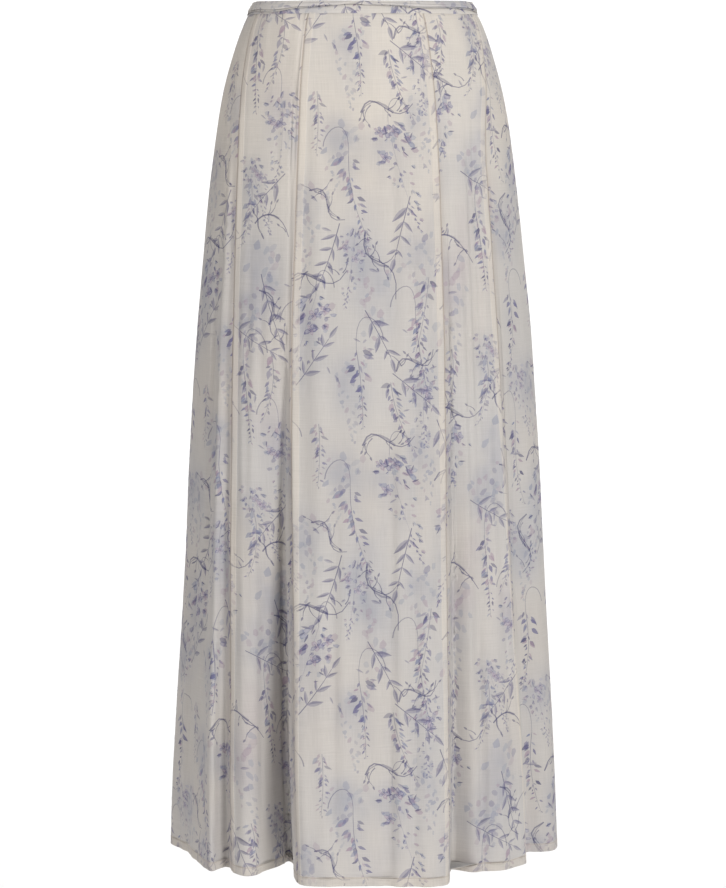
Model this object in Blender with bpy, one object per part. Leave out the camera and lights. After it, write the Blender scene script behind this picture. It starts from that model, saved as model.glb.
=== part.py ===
"""Long gored wrap skirt, as worn but with nobody in it. Metres, +Z up, front toward -Y.

The origin is the middle of the waist, where the wearer holds the skirt up.
A ring position called "station" runs round the cloth: the front middle, then the
+X side, the back and the -X side. "Drop" is the distance below the waistband's top.
"""
import math

import bpy
import numpy as np

for thing in list(bpy.data.objects):
    bpy.data.objects.remove(thing, do_unlink=True)

# Sizes of the finished skirt
LENGTH = 0.982
BAND_TOP = 0.007
BAND_HEIGHT = 0.0135
CLOTH = 0.0016
BAND_CLOTH = 0.0026
SEAM_GAP = 0.0003
HIP_DROP = 0.180

# The under flap, and its end of the band, lie this far inside the over flap. They come out
# between a place past the over flap's edge and a place before the seam they are joined at.
FLAP_SINK = 0.0034
BAND_SINK = 0.0042
SINK_PAST_EDGE = 0.012
SINK_BEFORE_SEAM = 0.004

# The tie wound round the waistband, its knot and its two hanging ends
TIE_CLOTH = 0.0020
TIE_CLEAR = 0.0004
TIE_TOP_DROP = 0.0003
KNOT_LINE = "over_roll"
KNOT_DROP = 0.0078
KNOT_HALF = (0.0130, 0.0062, 0.0092)
# The knot leans with the band under it: metres outward for each metre down
KNOT_LEAN = 0.45
KNOT_SQUARENESS = 3.2
KNOT_END_ANGLE = 80.0
END_CLOTH = 0.0018
END_WIDTH_TOP = 0.0100
END_WIDTH = 0.0160
END_GAP = 0.0008
END_CLEAR = 0.0045
END_WIDEN = 0.050
END_LIFT = 0.060
END_SPREAD_POWER = 1.2

# Hanging ends of the tie: name, side of the knot, length, sideways spread at the tip
TIE_ENDS = (
    ("tie_end_long", 1.0, 0.285, 0.034),
    ("tie_end_short", -1.0, 0.235, 0.040),
)

# Lower edge of the tie round the waist: angle from the front middle, drop
TIE_FOOT = (
    (0.0, 0.0050), (16.0, 0.0058), (30.0, 0.0076), (45.0, 0.0075), (57.0, 0.0080),
    (75.0, 0.0095), (110.0, 0.0098), (180.0, 0.0096), (250.0, 0.0104), (270.0, 0.0116),
    (298.0, 0.0096), (315.0, 0.0104), (327.0, 0.0076), (340.0, 0.0062), (354.0, 0.0046),
    (360.0, 0.0050),
)

# How finely the solids are divided, and the steps that measure a direction on the cloth
COLUMN_STEP = 0.0135
GORE_ROWS = (0.0, 0.018, 0.044, 0.078, 0.118, 0.166, 0.226, 0.294, 0.372, 0.458, 0.546,
             0.634, 0.720, 0.800, 0.870, 0.925)
BAND_COLUMNS = 108
TIE_COLUMNS = 88
END_ROWS = 15
KNOT_RINGS = 9
KNOT_POINTS = 18
SMALL_STATION = 0.0006
SMALL_DROP = 0.002
SHARP_ANGLE = 55.0

# Figure under the cloth: drop, half width, half depth in front, half depth behind, squareness
SECTIONS = (
    ("band_top", 0.000, 0.1205, 0.0860, 0.0870, 2.50),
    ("band_foot", 0.014, 0.1300, 0.0935, 0.0950, 2.50),
    ("belly", 0.060, 0.1480, 0.1030, 0.1080, 2.30),
    ("high_hip", 0.110, 0.1610, 0.1110, 0.1230, 2.20),
    ("hip", 0.180, 0.1715, 0.1180, 0.1330, 2.12),
    ("thigh", 0.280, 0.1820, 0.1250, 0.1380, 2.06),
    ("mid_thigh", 0.400, 0.1930, 0.1330, 0.1450, 2.02),
    ("knee", 0.540, 0.2026, 0.1430, 0.1540, 2.00),
    ("shin", 0.700, 0.2112, 0.1540, 0.1640, 2.00),
    ("calf", 0.840, 0.2205, 0.1640, 0.1730, 2.00),
    ("hem", 0.982, 0.2270, 0.1720, 0.1800, 2.00),
)

# Crests, valleys and seams round the skirt. Angles from the front middle toward +X at the
# waist, hip and hem; where the line ends at the hem, across and forward; drop where it starts.
FOLDS = (
    ("front_middle", 0.0, 1.0, 1.5, 0.008, 0.1705, 0.30),
    ("front_right_face", 14.0, 14.0, 12.5, 0.050, 0.1712, 0.30),
    ("front_right_crest", 24.5, 24.2, 22.2, 0.0865, 0.1700, 0.30),
    ("seam_front_right", 29.3, 28.9, 26.4, 0.0962, 0.1585, 0.30),
    ("valley_front_right", 32.6, 32.4, 30.0, 0.1010, 0.0985, 0.32),
    ("right_panel_slope", 40.0, 38.0, 36.5, 0.1260, 0.1110, 0.34),
    ("right_panel_face", 52.0, 44.0, 43.5, 0.1550, 0.1050, 0.36),
    ("right_panel_crest", 64.0, 48.2, 50.0, 0.1785, 0.0830, 0.36),
    ("seam_side_right", 70.0, 52.2, 54.5, 0.1855, 0.0640, 0.36),
    ("valley_side_right", 74.0, 56.4, 58.5, 0.1905, 0.0220, 0.38),
    ("right_side_face", 82.0, 69.0, 66.0, 0.2080, 0.0195, 0.40),
    ("right_side_crest", 89.0, 81.0, 76.0, 0.2255, 0.0080, 0.40),
    ("right_side_back", 96.0, 92.0, 88.0, 0.2265, -0.0320, 0.40),
    ("right_side_dip", 103.0, 102.0, 98.0, 0.2010, -0.0590, 0.42),
    ("right_side_roll", 110.0, 110.0, 106.0, 0.2040, -0.0930, 0.42),
    ("seam_back_right", 116.0, 117.0, 113.0, 0.1880, -0.1160, 0.40),
    ("valley_back_right", 120.0, 121.0, 117.5, 0.1560, -0.1080, 0.40),
    ("back_right_crest", 128.0, 128.0, 127.0, 0.1540, -0.1440, 0.40),
    ("back_right_face", 137.0, 137.0, 136.5, 0.1150, -0.1610, 0.38),
    ("back_right_roll", 146.0, 146.0, 146.0, 0.0890, -0.1730, 0.36),
    ("seam_over", 151.0, 151.0, 151.0, 0.0760, -0.1620, 0.36),
    ("valley_over", 155.5, 155.5, 155.5, 0.0640, -0.1260, 0.38),
    ("over_crest", 164.0, 164.0, 164.0, 0.0380, -0.1680, 0.38),
    ("over_face", 178.0, 178.0, 178.0, 0.0020, -0.1810, 0.38),
    ("over_roll", 192.0, 192.0, 192.0, -0.0460, -0.1790, 0.40),
    ("over_dip", 204.0, 204.0, 204.0, -0.0820, -0.1500, 0.42),
    ("over_edge", 215.0, 214.0, 214.0, -0.1180, -0.1560, 0.42),
    ("under_face", 224.0, 223.0, 223.0, -0.1440, -0.1440, 0.42),
    ("under_crest", 234.0, 233.0, 234.0, -0.1720, -0.1210, 0.40),
    ("seam_under", 242.0, 241.0, 243.0, -0.1800, -0.1000, 0.40),
    ("valley_under", 247.0, 246.0, 248.0, -0.1770, -0.0760, 0.40),
    ("left_side_roll", 256.0, 259.0, 263.0, -0.2225, -0.0640, 0.40),
    ("left_side_edge", 266.0, 271.0, 276.0, -0.2290, -0.0260, 0.40),
    ("left_side_fold", 275.0, 285.0, 290.0, -0.2050, 0.0170, 0.34),
    ("left_side_face", 283.0, 295.5, 300.0, -0.1945, 0.0560, 0.34),
    ("left_side_crest", 289.5, 300.6, 308.0, -0.1730, 0.1060, 0.36),
    ("valley_side_left", 294.5, 304.0, 314.3, -0.1545, 0.0880, 0.38),
    ("seam_side_left", 298.3, 306.6, 317.0, -0.1485, 0.1080, 0.38),
    ("left_panel_crest", 305.0, 312.5, 322.0, -0.1335, 0.1275, 0.38),
    ("left_panel_slope", 318.0, 324.0, 328.5, -0.1060, 0.0980, 0.36),
    ("valley_front_left", 329.4, 331.6, 332.2, -0.0830, 0.0640, 0.34),
    ("seam_front_left", 333.2, 335.3, 336.0, -0.0725, 0.1580, 0.32),
    ("front_left_crest", 337.5, 340.0, 340.6, -0.0630, 0.1700, 0.30),
    ("front_left_face", 347.5, 350.0, 351.0, -0.0280, 0.1712, 0.30),
)
FOLD_GROWTH = 1.25

# Gores in order round the waist: name, first fold line, last fold line
GORES = (
    ("gore_front_centre", "seam_front_left", "seam_front_right"),
    ("gore_front_right", "seam_front_right", "seam_side_right"),
    ("gore_side_right", "seam_side_right", "seam_back_right"),
    ("gore_back_right", "seam_back_right", "seam_over"),
    ("gore_wrap_over", "seam_over", "over_edge"),
    ("gore_wrap_under", "valley_over", "seam_under"),
    ("gore_side_left", "seam_under", "seam_side_left"),
    ("gore_front_left", "seam_side_left", "seam_front_left"),
)

FOLD_NAMES = tuple(row[0] for row in FOLDS)
FOLD_COUNT = len(FOLDS)

# Cream cloth: colour, roughness, metallic
CLOTH_LOOK = ((0.690, 0.635, 0.560, 1.0), 0.90, 0.0)


# Smooth curves through the tables

def monotone_slopes(knots, values):
    """Slopes for a cubic through the values that never overshoots a row."""
    step = np.diff(knots)
    rise = np.diff(values) / step
    slopes = np.zeros(len(values))
    slopes[0] = rise[0]
    slopes[-1] = rise[-1]
    for i in range(1, len(values) - 1):
        if rise[i - 1] * rise[i] > 0:
            first = 2 * step[i] + step[i - 1]
            second = step[i] + 2 * step[i - 1]
            slopes[i] = (first + second) / (first / rise[i - 1] + second / rise[i])
    return slopes


def curve(knots, values, at):
    """Value of the smooth curve at each position."""
    at = np.asarray(at, dtype=float)
    slopes = monotone_slopes(knots, values)
    i = np.clip(np.searchsorted(knots, at, side="right") - 1, 0, len(knots) - 2)
    step = knots[i + 1] - knots[i]
    t = (at - knots[i]) / step
    return ((2 * t ** 3 - 3 * t ** 2 + 1) * values[i] + (t ** 3 - 2 * t ** 2 + t) * step * slopes[i]
            + (3 * t ** 2 - 2 * t ** 3) * values[i + 1] + (t ** 3 - t ** 2) * step * slopes[i + 1])


def ease(t):
    """Soft step from 0 to 1."""
    t = np.clip(t, 0.0, 1.0)
    return t * t * (3 - 2 * t)


# The figure's section

SECTION_DROPS = np.array([row[1] for row in SECTIONS])


def section_size(column, drop):
    values = np.array([row[column] for row in SECTIONS])
    return curve(SECTION_DROPS, values, drop)


def figure_point(angle, drop):
    """Across and forward on the plain figure."""
    wide = section_size(2, drop)
    front = section_size(3, drop)
    back = section_size(4, drop)
    square = section_size(5, drop)
    across = np.sin(angle)
    ahead = np.cos(angle)
    reach = (np.abs(across) ** square + np.abs(ahead) ** square) ** (-1.0 / square)
    deep = np.where(ahead > 0, front, back)
    return wide * across * reach, deep * ahead * reach


# The folded surface

def fold_tables():
    """Station of every fold line, with its angles and its move at the hem, over three turns."""
    hem_x = np.array([row[4] for row in FOLDS])
    hem_y = np.array([row[5] for row in FOLDS])
    ring = np.hypot(np.diff(np.append(hem_x, hem_x[0])), np.diff(np.append(hem_y, hem_y[0])))
    stations = np.concatenate([[0.0], np.cumsum(ring)])
    turn = stations[-1]
    angles = np.radians([[row[1], row[2], row[3]] for row in FOLDS])
    base_x, base_y = figure_point(angles[:, 2], np.full(FOLD_COUNT, LENGTH))
    begins = np.array([row[6] for row in FOLDS])
    rows = (stations[:-1], angles, hem_x - base_x, hem_y - base_y, begins)
    full = 2 * math.pi
    return (turn,
            np.concatenate([rows[0] - turn, rows[0], rows[0] + turn]),
            np.concatenate([rows[1] - full, rows[1], rows[1] + full]),
            np.tile(rows[2], 3), np.tile(rows[3], 3), np.tile(rows[4], 3))


TURN, STATIONS, ANGLES, MOVE_X, MOVE_Y, BEGINS = fold_tables()


def station_of(name):
    return STATIONS[FOLD_COUNT + FOLD_NAMES.index(name)]


def ring_points(stations, drop):
    """Across and forward of the folded cloth at one drop."""
    heights = np.array([0.0, HIP_DROP, LENGTH])
    angles = np.array([curve(heights, row, drop) for row in ANGLES])
    grow = np.maximum((drop - BEGINS) / (LENGTH - BEGINS), 0.0) ** FOLD_GROWTH
    angle = curve(STATIONS, angles, stations)
    move_x = curve(STATIONS, MOVE_X * grow, stations)
    move_y = curve(STATIONS, MOVE_Y * grow, stations)
    base_x, base_y = figure_point(angle, np.full(len(stations), drop))
    return base_x + move_x, base_y + move_y


def ring_frames(stations, drop):
    """Points in space, outward normals and along-the-ring directions at one drop."""
    stations = np.asarray(stations, dtype=float)
    small = SMALL_STATION
    tall = SMALL_DROP
    x, y = ring_points(stations, drop)
    x0, y0 = ring_points(stations - small, drop)
    x1, y1 = ring_points(stations + small, drop)
    xu, yu = ring_points(stations, max(drop - tall, 0.0))
    xd, yd = ring_points(stations, drop + tall)
    points = np.stack([x, -y, np.full(len(x), BAND_TOP - drop)], 1)
    along = np.stack([x1 - x0, -(y1 - y0), np.zeros(len(x))], 1)
    along /= np.linalg.norm(along, axis=1)[:, None]
    fall = drop + tall - max(drop - tall, 0.0)
    down = np.stack([xd - xu, -(yd - yu), np.full(len(x), -fall)], 1)
    out = np.cross(down, along)
    out /= np.linalg.norm(out, axis=1)[:, None]
    return points, out, along


def columns_between(first, last, step):
    """Stations from one fold line to another, closer where the fold lines are close."""
    start = station_of(first)
    stop = station_of(last)
    if stop <= start:
        stop += TURN
    inner = [s for s in STATIONS if start + 1e-6 < s < stop - 1e-6]
    stops = [start] + inner + [stop]
    columns = []
    for low, high in zip(stops[:-1], stops[1:]):
        count = max(2, int(math.ceil((high - low) / step)))
        columns.extend(np.linspace(low, high, count, endpoint=False))
    columns.append(stop)
    return np.array(columns)


def under_sink(stations, depth):
    """How far the under flap and its end of the band lie inside the over flap."""
    free = station_of("over_edge") + SINK_PAST_EDGE
    joined = station_of("seam_under") - SINK_BEFORE_SEAM
    return depth * (1.0 - ease((stations - free) / (joined - free)))


# Turning grids of points into closed bodies

def add_body(name, points, faces):
    mesh = bpy.data.meshes.new(name)
    mesh.from_pydata([tuple(p) for p in points], [], faces)
    mesh.validate()
    corners = np.array(points)
    volume = 0.0
    for face in faces:
        for k in range(1, len(face) - 1):
            volume += np.dot(corners[face[0]], np.cross(corners[face[k]], corners[face[k + 1]]))
    if volume < 0:
        mesh.flip_normals()
    mesh.shade_smooth()
    mesh.set_sharp_from_angle(angle=math.radians(SHARP_ANGLE))
    body = bpy.data.objects.new(name, mesh)
    bpy.context.collection.objects.link(body)
    colour, rough, metal = CLOTH_LOOK
    material = bpy.data.materials.new(name + "_cloth")
    material.use_nodes = True
    shader = material.node_tree.nodes["Principled BSDF"]
    shader.inputs["Base Color"].default_value = colour
    shader.inputs["Roughness"].default_value = rough
    shader.inputs["Metallic"].default_value = metal
    material.diffuse_color = colour
    mesh.materials.append(material)
    return body


def slab(name, outer, inner):
    """Closed sheet between two grids of the same size, rows by columns."""
    rows, columns = outer.shape[:2]
    points = np.concatenate([outer.reshape(-1, 3), inner.reshape(-1, 3)])
    back = rows * columns
    faces = []
    for r in range(rows - 1):
        for c in range(columns - 1):
            a = r * columns + c
            b = a + 1
            d = a + columns
            e = d + 1
            faces.append((a, d, e, b))
            faces.append((back + a, back + b, back + e, back + d))
    for r in range(rows - 1):
        a = r * columns
        d = a + columns
        faces.append((a, back + a, back + d, d))
        a = r * columns + columns - 1
        d = a + columns
        faces.append((a, d, back + d, back + a))
    for c in range(columns - 1):
        faces.append((c, c + 1, back + c + 1, back + c))
        a = (rows - 1) * columns + c
        faces.append((a, back + a, back + a + 1, a + 1))
    return add_body(name, points, faces)


def capped_rings(name, rings):
    """Closed body from a list of rings with the same number of points."""
    count = len(rings[0])
    points = np.concatenate(rings)
    faces = []
    for r in range(len(rings) - 1):
        for c in range(count):
            n = (c + 1) % count
            a = r * count
            b = a + count
            faces.append((a + c, a + n, b + n, b + c))
    last = (len(rings) - 1) * count
    faces.append(tuple(range(count - 1, -1, -1)))
    faces.append(tuple(range(last, last + count)))
    return add_body(name, points, faces)


# The gores

def build_gore(name, first, last):
    stations = columns_between(first, last, COLUMN_STEP)
    drops = [BAND_HEIGHT + SEAM_GAP + row for row in GORE_ROWS] + [LENGTH]
    outer = []
    inner = []
    for drop in drops:
        points, out, along = ring_frames(stations, drop)
        points[0] += along[0] * SEAM_GAP / 2
        points[-1] -= along[-1] * SEAM_GAP / 2
        if name == "gore_wrap_under":
            points -= out * under_sink(stations, FLAP_SINK)[:, None]
        outer.append(points + out * CLOTH / 2)
        inner.append(points - out * CLOTH / 2)
    return slab(name, np.array(outer), np.array(inner))


# The waistband, its under end lying inside its over end

def build_band():
    start = station_of("valley_over")
    stop = station_of("over_edge") + TURN
    stations = np.linspace(start, stop, BAND_COLUMNS)
    joined = stations < station_of("seam_under")
    sink = np.where(joined, under_sink(stations, BAND_SINK), 0.0)
    outer = []
    inner = []
    for drop in (0.0, BAND_HEIGHT / 2, BAND_HEIGHT):
        points, out, along = ring_frames(stations, drop)
        points -= out * sink[:, None]
        outer.append(points + out * BAND_CLOTH / 2)
        inner.append(points - out * BAND_CLOTH / 2)
    return slab("waistband", np.array(outer), np.array(inner))


# The tie wound over the waistband

def waist_scale(station, drop):
    """Metres of cloth for each metre of station, at this drop."""
    x, y = ring_points(np.array([station - SMALL_STATION, station + SMALL_STATION]), drop)
    return math.hypot(x[1] - x[0], y[1] - y[0]) / (2 * SMALL_STATION)


def build_tie():
    knot = station_of(KNOT_LINE)
    half = (KNOT_HALF[0] + SEAM_GAP) / waist_scale(knot, KNOT_DROP)
    stations = np.linspace(knot + half, knot + TURN - half, TIE_COLUMNS)
    angles = np.degrees(curve(STATIONS, ANGLES[:, 0], stations)) % 360.0
    foot_angles = np.array([row[0] for row in TIE_FOOT])
    foot_drops = np.array([row[1] for row in TIE_FOOT])
    foot = curve(foot_angles, foot_drops, angles)
    offset = BAND_CLOTH / 2 + TIE_CLEAR + TIE_CLOTH / 2
    upper, upper_out, upper_along = ring_frames(stations, 0.0)
    lower, lower_out, lower_along = ring_frames(stations, BAND_HEIGHT)
    outer = []
    inner = []
    for share in (0.0, 0.5, 1.0):
        drops = TIE_TOP_DROP + share * (foot - TIE_TOP_DROP)
        mix = (drops / BAND_HEIGHT)[:, None]
        points = upper * (1.0 - mix) + lower * mix
        out = upper_out * (1.0 - mix) + lower_out * mix
        out /= np.linalg.norm(out, axis=1)[:, None]
        outer.append(points + out * (offset + TIE_CLOTH / 2))
        inner.append(points + out * (offset - TIE_CLOTH / 2))
    return slab("tie_strap", np.array(outer), np.array(inner))


def knot_frame():
    points, out, along = ring_frames(np.array([station_of(KNOT_LINE)]), KNOT_DROP)
    level_out = np.array([out[0][0], out[0][1], 0.0])
    level_out /= np.linalg.norm(level_out)
    centre = points[0] + level_out * (BAND_CLOTH / 2 + TIE_CLEAR + KNOT_HALF[1])
    return centre, level_out, along[0]


def build_knot():
    centre, out, along = knot_frame()
    power = 2.0 / KNOT_SQUARENESS
    rings = []
    for r in range(KNOT_RINGS):
        lift = math.radians(KNOT_END_ANGLE * (2 * r / (KNOT_RINGS - 1) - 1))
        wide = abs(math.cos(lift)) ** power
        height = math.copysign(abs(math.sin(lift)) ** power, lift)
        ring = []
        for k in range(KNOT_POINTS):
            turn = 2 * math.pi * k / KNOT_POINTS
            side = math.copysign(abs(math.cos(turn)) ** power, math.cos(turn)) * wide
            deep = math.copysign(abs(math.sin(turn)) ** power, math.sin(turn)) * wide
            rise = height * KNOT_HALF[2]
            ring.append(centre + along * side * KNOT_HALF[0] + out * (deep * KNOT_HALF[1] - KNOT_LEAN * rise)
                        + np.array([0.0, 0.0, rise]))
        rings.append(np.array(ring))
    return capped_rings("tie_knot", rings)


def build_end(name, side, length, spread):
    centre, out, along = knot_frame()
    knot = station_of(KNOT_LINE)
    start = KNOT_DROP + KNOT_HALF[2] + SEAM_GAP
    lift = BAND_CLOTH / 2 + TIE_CLEAR + KNOT_HALF[1]
    outer = []
    inner = []
    for r in range(END_ROWS):
        fallen = length * r / (END_ROWS - 1)
        drop = start + fallen
        width = END_WIDTH_TOP + (END_WIDTH - END_WIDTH_TOP) * ease(fallen / END_WIDEN)
        near = (END_WIDTH_TOP + END_GAP) / 2 + spread * (fallen / length) ** END_SPREAD_POWER
        away = END_CLEAR + (lift - END_CLEAR) * (1.0 - ease(fallen / END_LIFT))
        scale = waist_scale(knot, drop)
        moves = np.array([near - width / 2, near, near + width / 2]) * side
        points, normals, tangents = ring_frames(knot + np.sort(moves) / scale, drop)
        normals[:, 2] = 0.0
        normals /= np.linalg.norm(normals, axis=1)[:, None]
        points += normals * away
        outer.append(points + normals * END_CLOTH / 2)
        inner.append(points - normals * END_CLOTH / 2)
    return slab(name, np.array(outer), np.array(inner))


# Build the skirt

for gore_name, first_line, last_line in GORES:
    build_gore(gore_name, first_line, last_line)

build_band()
build_tie()
build_knot()
for end_name, end_side, end_length, end_spread in TIE_ENDS:
    build_end(end_name, end_side, end_length, end_spread)
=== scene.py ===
"""Dresses the wrap skirt's solids in printed voile: inlaid blossom print, seams, hem, band and tie."""
import math

import bpy
import numpy as np
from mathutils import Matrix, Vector
from mathutils.geometry import delaunay_2d_cdt


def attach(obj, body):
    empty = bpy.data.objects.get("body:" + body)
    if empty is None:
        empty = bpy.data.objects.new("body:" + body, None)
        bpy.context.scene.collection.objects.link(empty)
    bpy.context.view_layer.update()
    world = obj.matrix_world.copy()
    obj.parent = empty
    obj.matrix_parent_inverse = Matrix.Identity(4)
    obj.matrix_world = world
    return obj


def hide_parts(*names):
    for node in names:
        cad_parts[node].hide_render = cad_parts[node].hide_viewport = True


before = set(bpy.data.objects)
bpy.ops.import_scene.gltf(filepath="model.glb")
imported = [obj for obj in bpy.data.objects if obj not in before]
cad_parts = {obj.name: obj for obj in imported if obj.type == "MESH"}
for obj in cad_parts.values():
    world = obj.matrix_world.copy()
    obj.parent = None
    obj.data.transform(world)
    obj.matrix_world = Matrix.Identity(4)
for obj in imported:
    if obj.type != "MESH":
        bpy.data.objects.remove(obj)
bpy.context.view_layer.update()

# Sizes that the skirt shares with its solids, in metres
LENGTH = 0.982
BAND_TOP = 0.007
BAND_HEIGHT = 0.0135
HIP_DROP = 0.180
FLAP_SINK = 0.0034
BAND_SINK = 0.0042
SINK_PAST_EDGE = 0.012
SINK_BEFORE_SEAM = 0.004
FOLD_GROWTH = 1.25

# Figure under the cloth: drop, half width, half depth in front, half depth behind, squareness
SECTIONS = (
    ("band_top", 0.000, 0.1205, 0.0860, 0.0870, 2.50),
    ("band_foot", 0.014, 0.1300, 0.0935, 0.0950, 2.50),
    ("belly", 0.060, 0.1480, 0.1030, 0.1080, 2.30),
    ("high_hip", 0.110, 0.1610, 0.1110, 0.1230, 2.20),
    ("hip", 0.180, 0.1715, 0.1180, 0.1330, 2.12),
    ("thigh", 0.280, 0.1820, 0.1250, 0.1380, 2.06),
    ("mid_thigh", 0.400, 0.1930, 0.1330, 0.1450, 2.02),
    ("knee", 0.540, 0.2026, 0.1430, 0.1540, 2.00),
    ("shin", 0.700, 0.2112, 0.1540, 0.1640, 2.00),
    ("calf", 0.840, 0.2205, 0.1640, 0.1730, 2.00),
    ("hem", 0.982, 0.2270, 0.1720, 0.1800, 2.00),
)

# Crests, valleys and seams round the skirt. Angles from the front middle toward +X at the
# waist, hip and hem; where the line ends at the hem, across and forward; drop where it starts.
FOLDS = (
    ("front_middle", 0.0, 1.0, 1.5, 0.008, 0.1705, 0.30),
    ("front_right_face", 14.0, 14.0, 12.5, 0.050, 0.1712, 0.30),
    ("front_right_crest", 24.5, 24.2, 22.2, 0.0865, 0.1700, 0.30),
    ("seam_front_right", 29.3, 28.9, 26.4, 0.0962, 0.1585, 0.30),
    ("valley_front_right", 32.6, 32.4, 30.0, 0.1010, 0.0985, 0.32),
    ("right_panel_slope", 40.0, 38.0, 36.5, 0.1260, 0.1110, 0.34),
    ("right_panel_face", 52.0, 44.0, 43.5, 0.1550, 0.1050, 0.36),
    ("right_panel_crest", 64.0, 48.2, 50.0, 0.1785, 0.0830, 0.36),
    ("seam_side_right", 70.0, 52.2, 54.5, 0.1855, 0.0640, 0.36),
    ("valley_side_right", 74.0, 56.4, 58.5, 0.1905, 0.0220, 0.38),
    ("right_side_face", 82.0, 69.0, 66.0, 0.2080, 0.0195, 0.40),
    ("right_side_crest", 89.0, 81.0, 76.0, 0.2255, 0.0080, 0.40),
    ("right_side_back", 96.0, 92.0, 88.0, 0.2265, -0.0320, 0.40),
    ("right_side_dip", 103.0, 102.0, 98.0, 0.2010, -0.0590, 0.42),
    ("right_side_roll", 110.0, 110.0, 106.0, 0.2040, -0.0930, 0.42),
    ("seam_back_right", 116.0, 117.0, 113.0, 0.1880, -0.1160, 0.40),
    ("valley_back_right", 120.0, 121.0, 117.5, 0.1560, -0.1080, 0.40),
    ("back_right_crest", 128.0, 128.0, 127.0, 0.1540, -0.1440, 0.40),
    ("back_right_face", 137.0, 137.0, 136.5, 0.1150, -0.1610, 0.38),
    ("back_right_roll", 146.0, 146.0, 146.0, 0.0890, -0.1730, 0.36),
    ("seam_over", 151.0, 151.0, 151.0, 0.0760, -0.1620, 0.36),
    ("valley_over", 155.5, 155.5, 155.5, 0.0640, -0.1260, 0.38),
    ("over_crest", 164.0, 164.0, 164.0, 0.0380, -0.1680, 0.38),
    ("over_face", 178.0, 178.0, 178.0, 0.0020, -0.1810, 0.38),
    ("over_roll", 192.0, 192.0, 192.0, -0.0460, -0.1790, 0.40),
    ("over_dip", 204.0, 204.0, 204.0, -0.0820, -0.1500, 0.42),
    ("over_edge", 215.0, 214.0, 214.0, -0.1180, -0.1560, 0.42),
    ("under_face", 224.0, 223.0, 223.0, -0.1440, -0.1440, 0.42),
    ("under_crest", 234.0, 233.0, 234.0, -0.1720, -0.1210, 0.40),
    ("seam_under", 242.0, 241.0, 243.0, -0.1800, -0.1000, 0.40),
    ("valley_under", 247.0, 246.0, 248.0, -0.1770, -0.0760, 0.40),
    ("left_side_roll", 256.0, 259.0, 263.0, -0.2225, -0.0640, 0.40),
    ("left_side_edge", 266.0, 271.0, 276.0, -0.2290, -0.0260, 0.40),
    ("left_side_fold", 275.0, 285.0, 290.0, -0.2050, 0.0170, 0.34),
    ("left_side_face", 283.0, 295.5, 300.0, -0.1945, 0.0560, 0.34),
    ("left_side_crest", 289.5, 300.6, 308.0, -0.1730, 0.1060, 0.36),
    ("valley_side_left", 294.5, 304.0, 314.3, -0.1545, 0.0880, 0.38),
    ("seam_side_left", 298.3, 306.6, 317.0, -0.1485, 0.1080, 0.38),
    ("left_panel_crest", 305.0, 312.5, 322.0, -0.1335, 0.1275, 0.38),
    ("left_panel_slope", 318.0, 324.0, 328.5, -0.1060, 0.0980, 0.36),
    ("valley_front_left", 329.4, 331.6, 332.2, -0.0830, 0.0640, 0.34),
    ("seam_front_left", 333.2, 335.3, 336.0, -0.0725, 0.1580, 0.32),
    ("front_left_crest", 337.5, 340.0, 340.6, -0.0630, 0.1700, 0.30),
    ("front_left_face", 347.5, 350.0, 351.0, -0.0280, 0.1712, 0.30),
)

# Gores: name, first and last fold line, where the print lies on it, whether a pressed seam
# allowance shows at its first and last edge, and whether those edges are sewn to a neighbour
GORES = (
    ("gore_front_centre", "seam_front_left", "seam_front_right", (0.060, 0.090), (1, 1), (1, 1)),
    ("gore_front_right", "seam_front_right", "seam_side_right", (0.250, 0.020), (0, 1), (1, 1)),
    ("gore_side_right", "seam_side_right", "seam_back_right", (0.110, 0.300), (0, 0), (1, 1)),
    ("gore_back_right", "seam_back_right", "seam_over", (0.020, 0.150), (1, 1), (1, 1)),
    ("gore_wrap_over", "seam_over", "over_edge", (0.190, 0.240), (0, 1), (1, 0)),
    ("gore_wrap_under", "valley_over", "seam_under", (0.290, 0.330), (1, 0), (0, 1)),
    ("gore_side_left", "seam_under", "seam_side_left", (0.160, 0.060), (1, 0), (1, 1)),
    ("gore_front_left", "seam_side_left", "seam_front_left", (0.215, 0.190), (1, 0), (1, 1)),
)

# Waistband, tie, knot and hanging ends, as on the solids
BAND_HALF = 0.0012
BAND_INSIDE = 0.0105
TIE_OFFSET = 0.0027
TIE_HALF = 0.00095
TIE_TOP_DROP = 0.0003
TIE_CUT = 0.0220
TIE_FLARE = 0.0012
KNOT_LINE = "over_roll"
KNOT_DROP = 0.0078
KNOT_HALF = (0.0130, 0.0062, 0.0092)
KNOT_OUT = 0.0079
KNOT_LEAN = 0.45
KNOT_POWER = 2.0 / 3.2
KNOT_CUT = (0.064, 0.034)
SEAM_GAP = 0.0003
END_HALF = 0.0008
END_WIDTHS = (0.0100, 0.0160)
END_GAP = 0.0008
END_CLEAR = 0.0045
END_WIDEN = 0.050
END_LIFT = 0.060
END_SPREAD_POWER = 1.2

# Hanging ends of the tie: node, side of the knot, length, sideways spread at the tip
TIE_ENDS = (
    ("tie_end_long", 1.0, 0.285, 0.034),
    ("tie_end_short", -1.0, 0.235, 0.040),
)

# Lower edge of the tie round the waist: angle from the front middle, drop
TIE_FOOT = (
    (0.0, 0.0050), (16.0, 0.0058), (30.0, 0.0076), (45.0, 0.0075), (57.0, 0.0080),
    (75.0, 0.0095), (110.0, 0.0098), (180.0, 0.0096), (250.0, 0.0104), (270.0, 0.0116),
    (298.0, 0.0096), (315.0, 0.0104), (327.0, 0.0076), (340.0, 0.0062), (354.0, 0.0046),
    (360.0, 0.0050),
)

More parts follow.
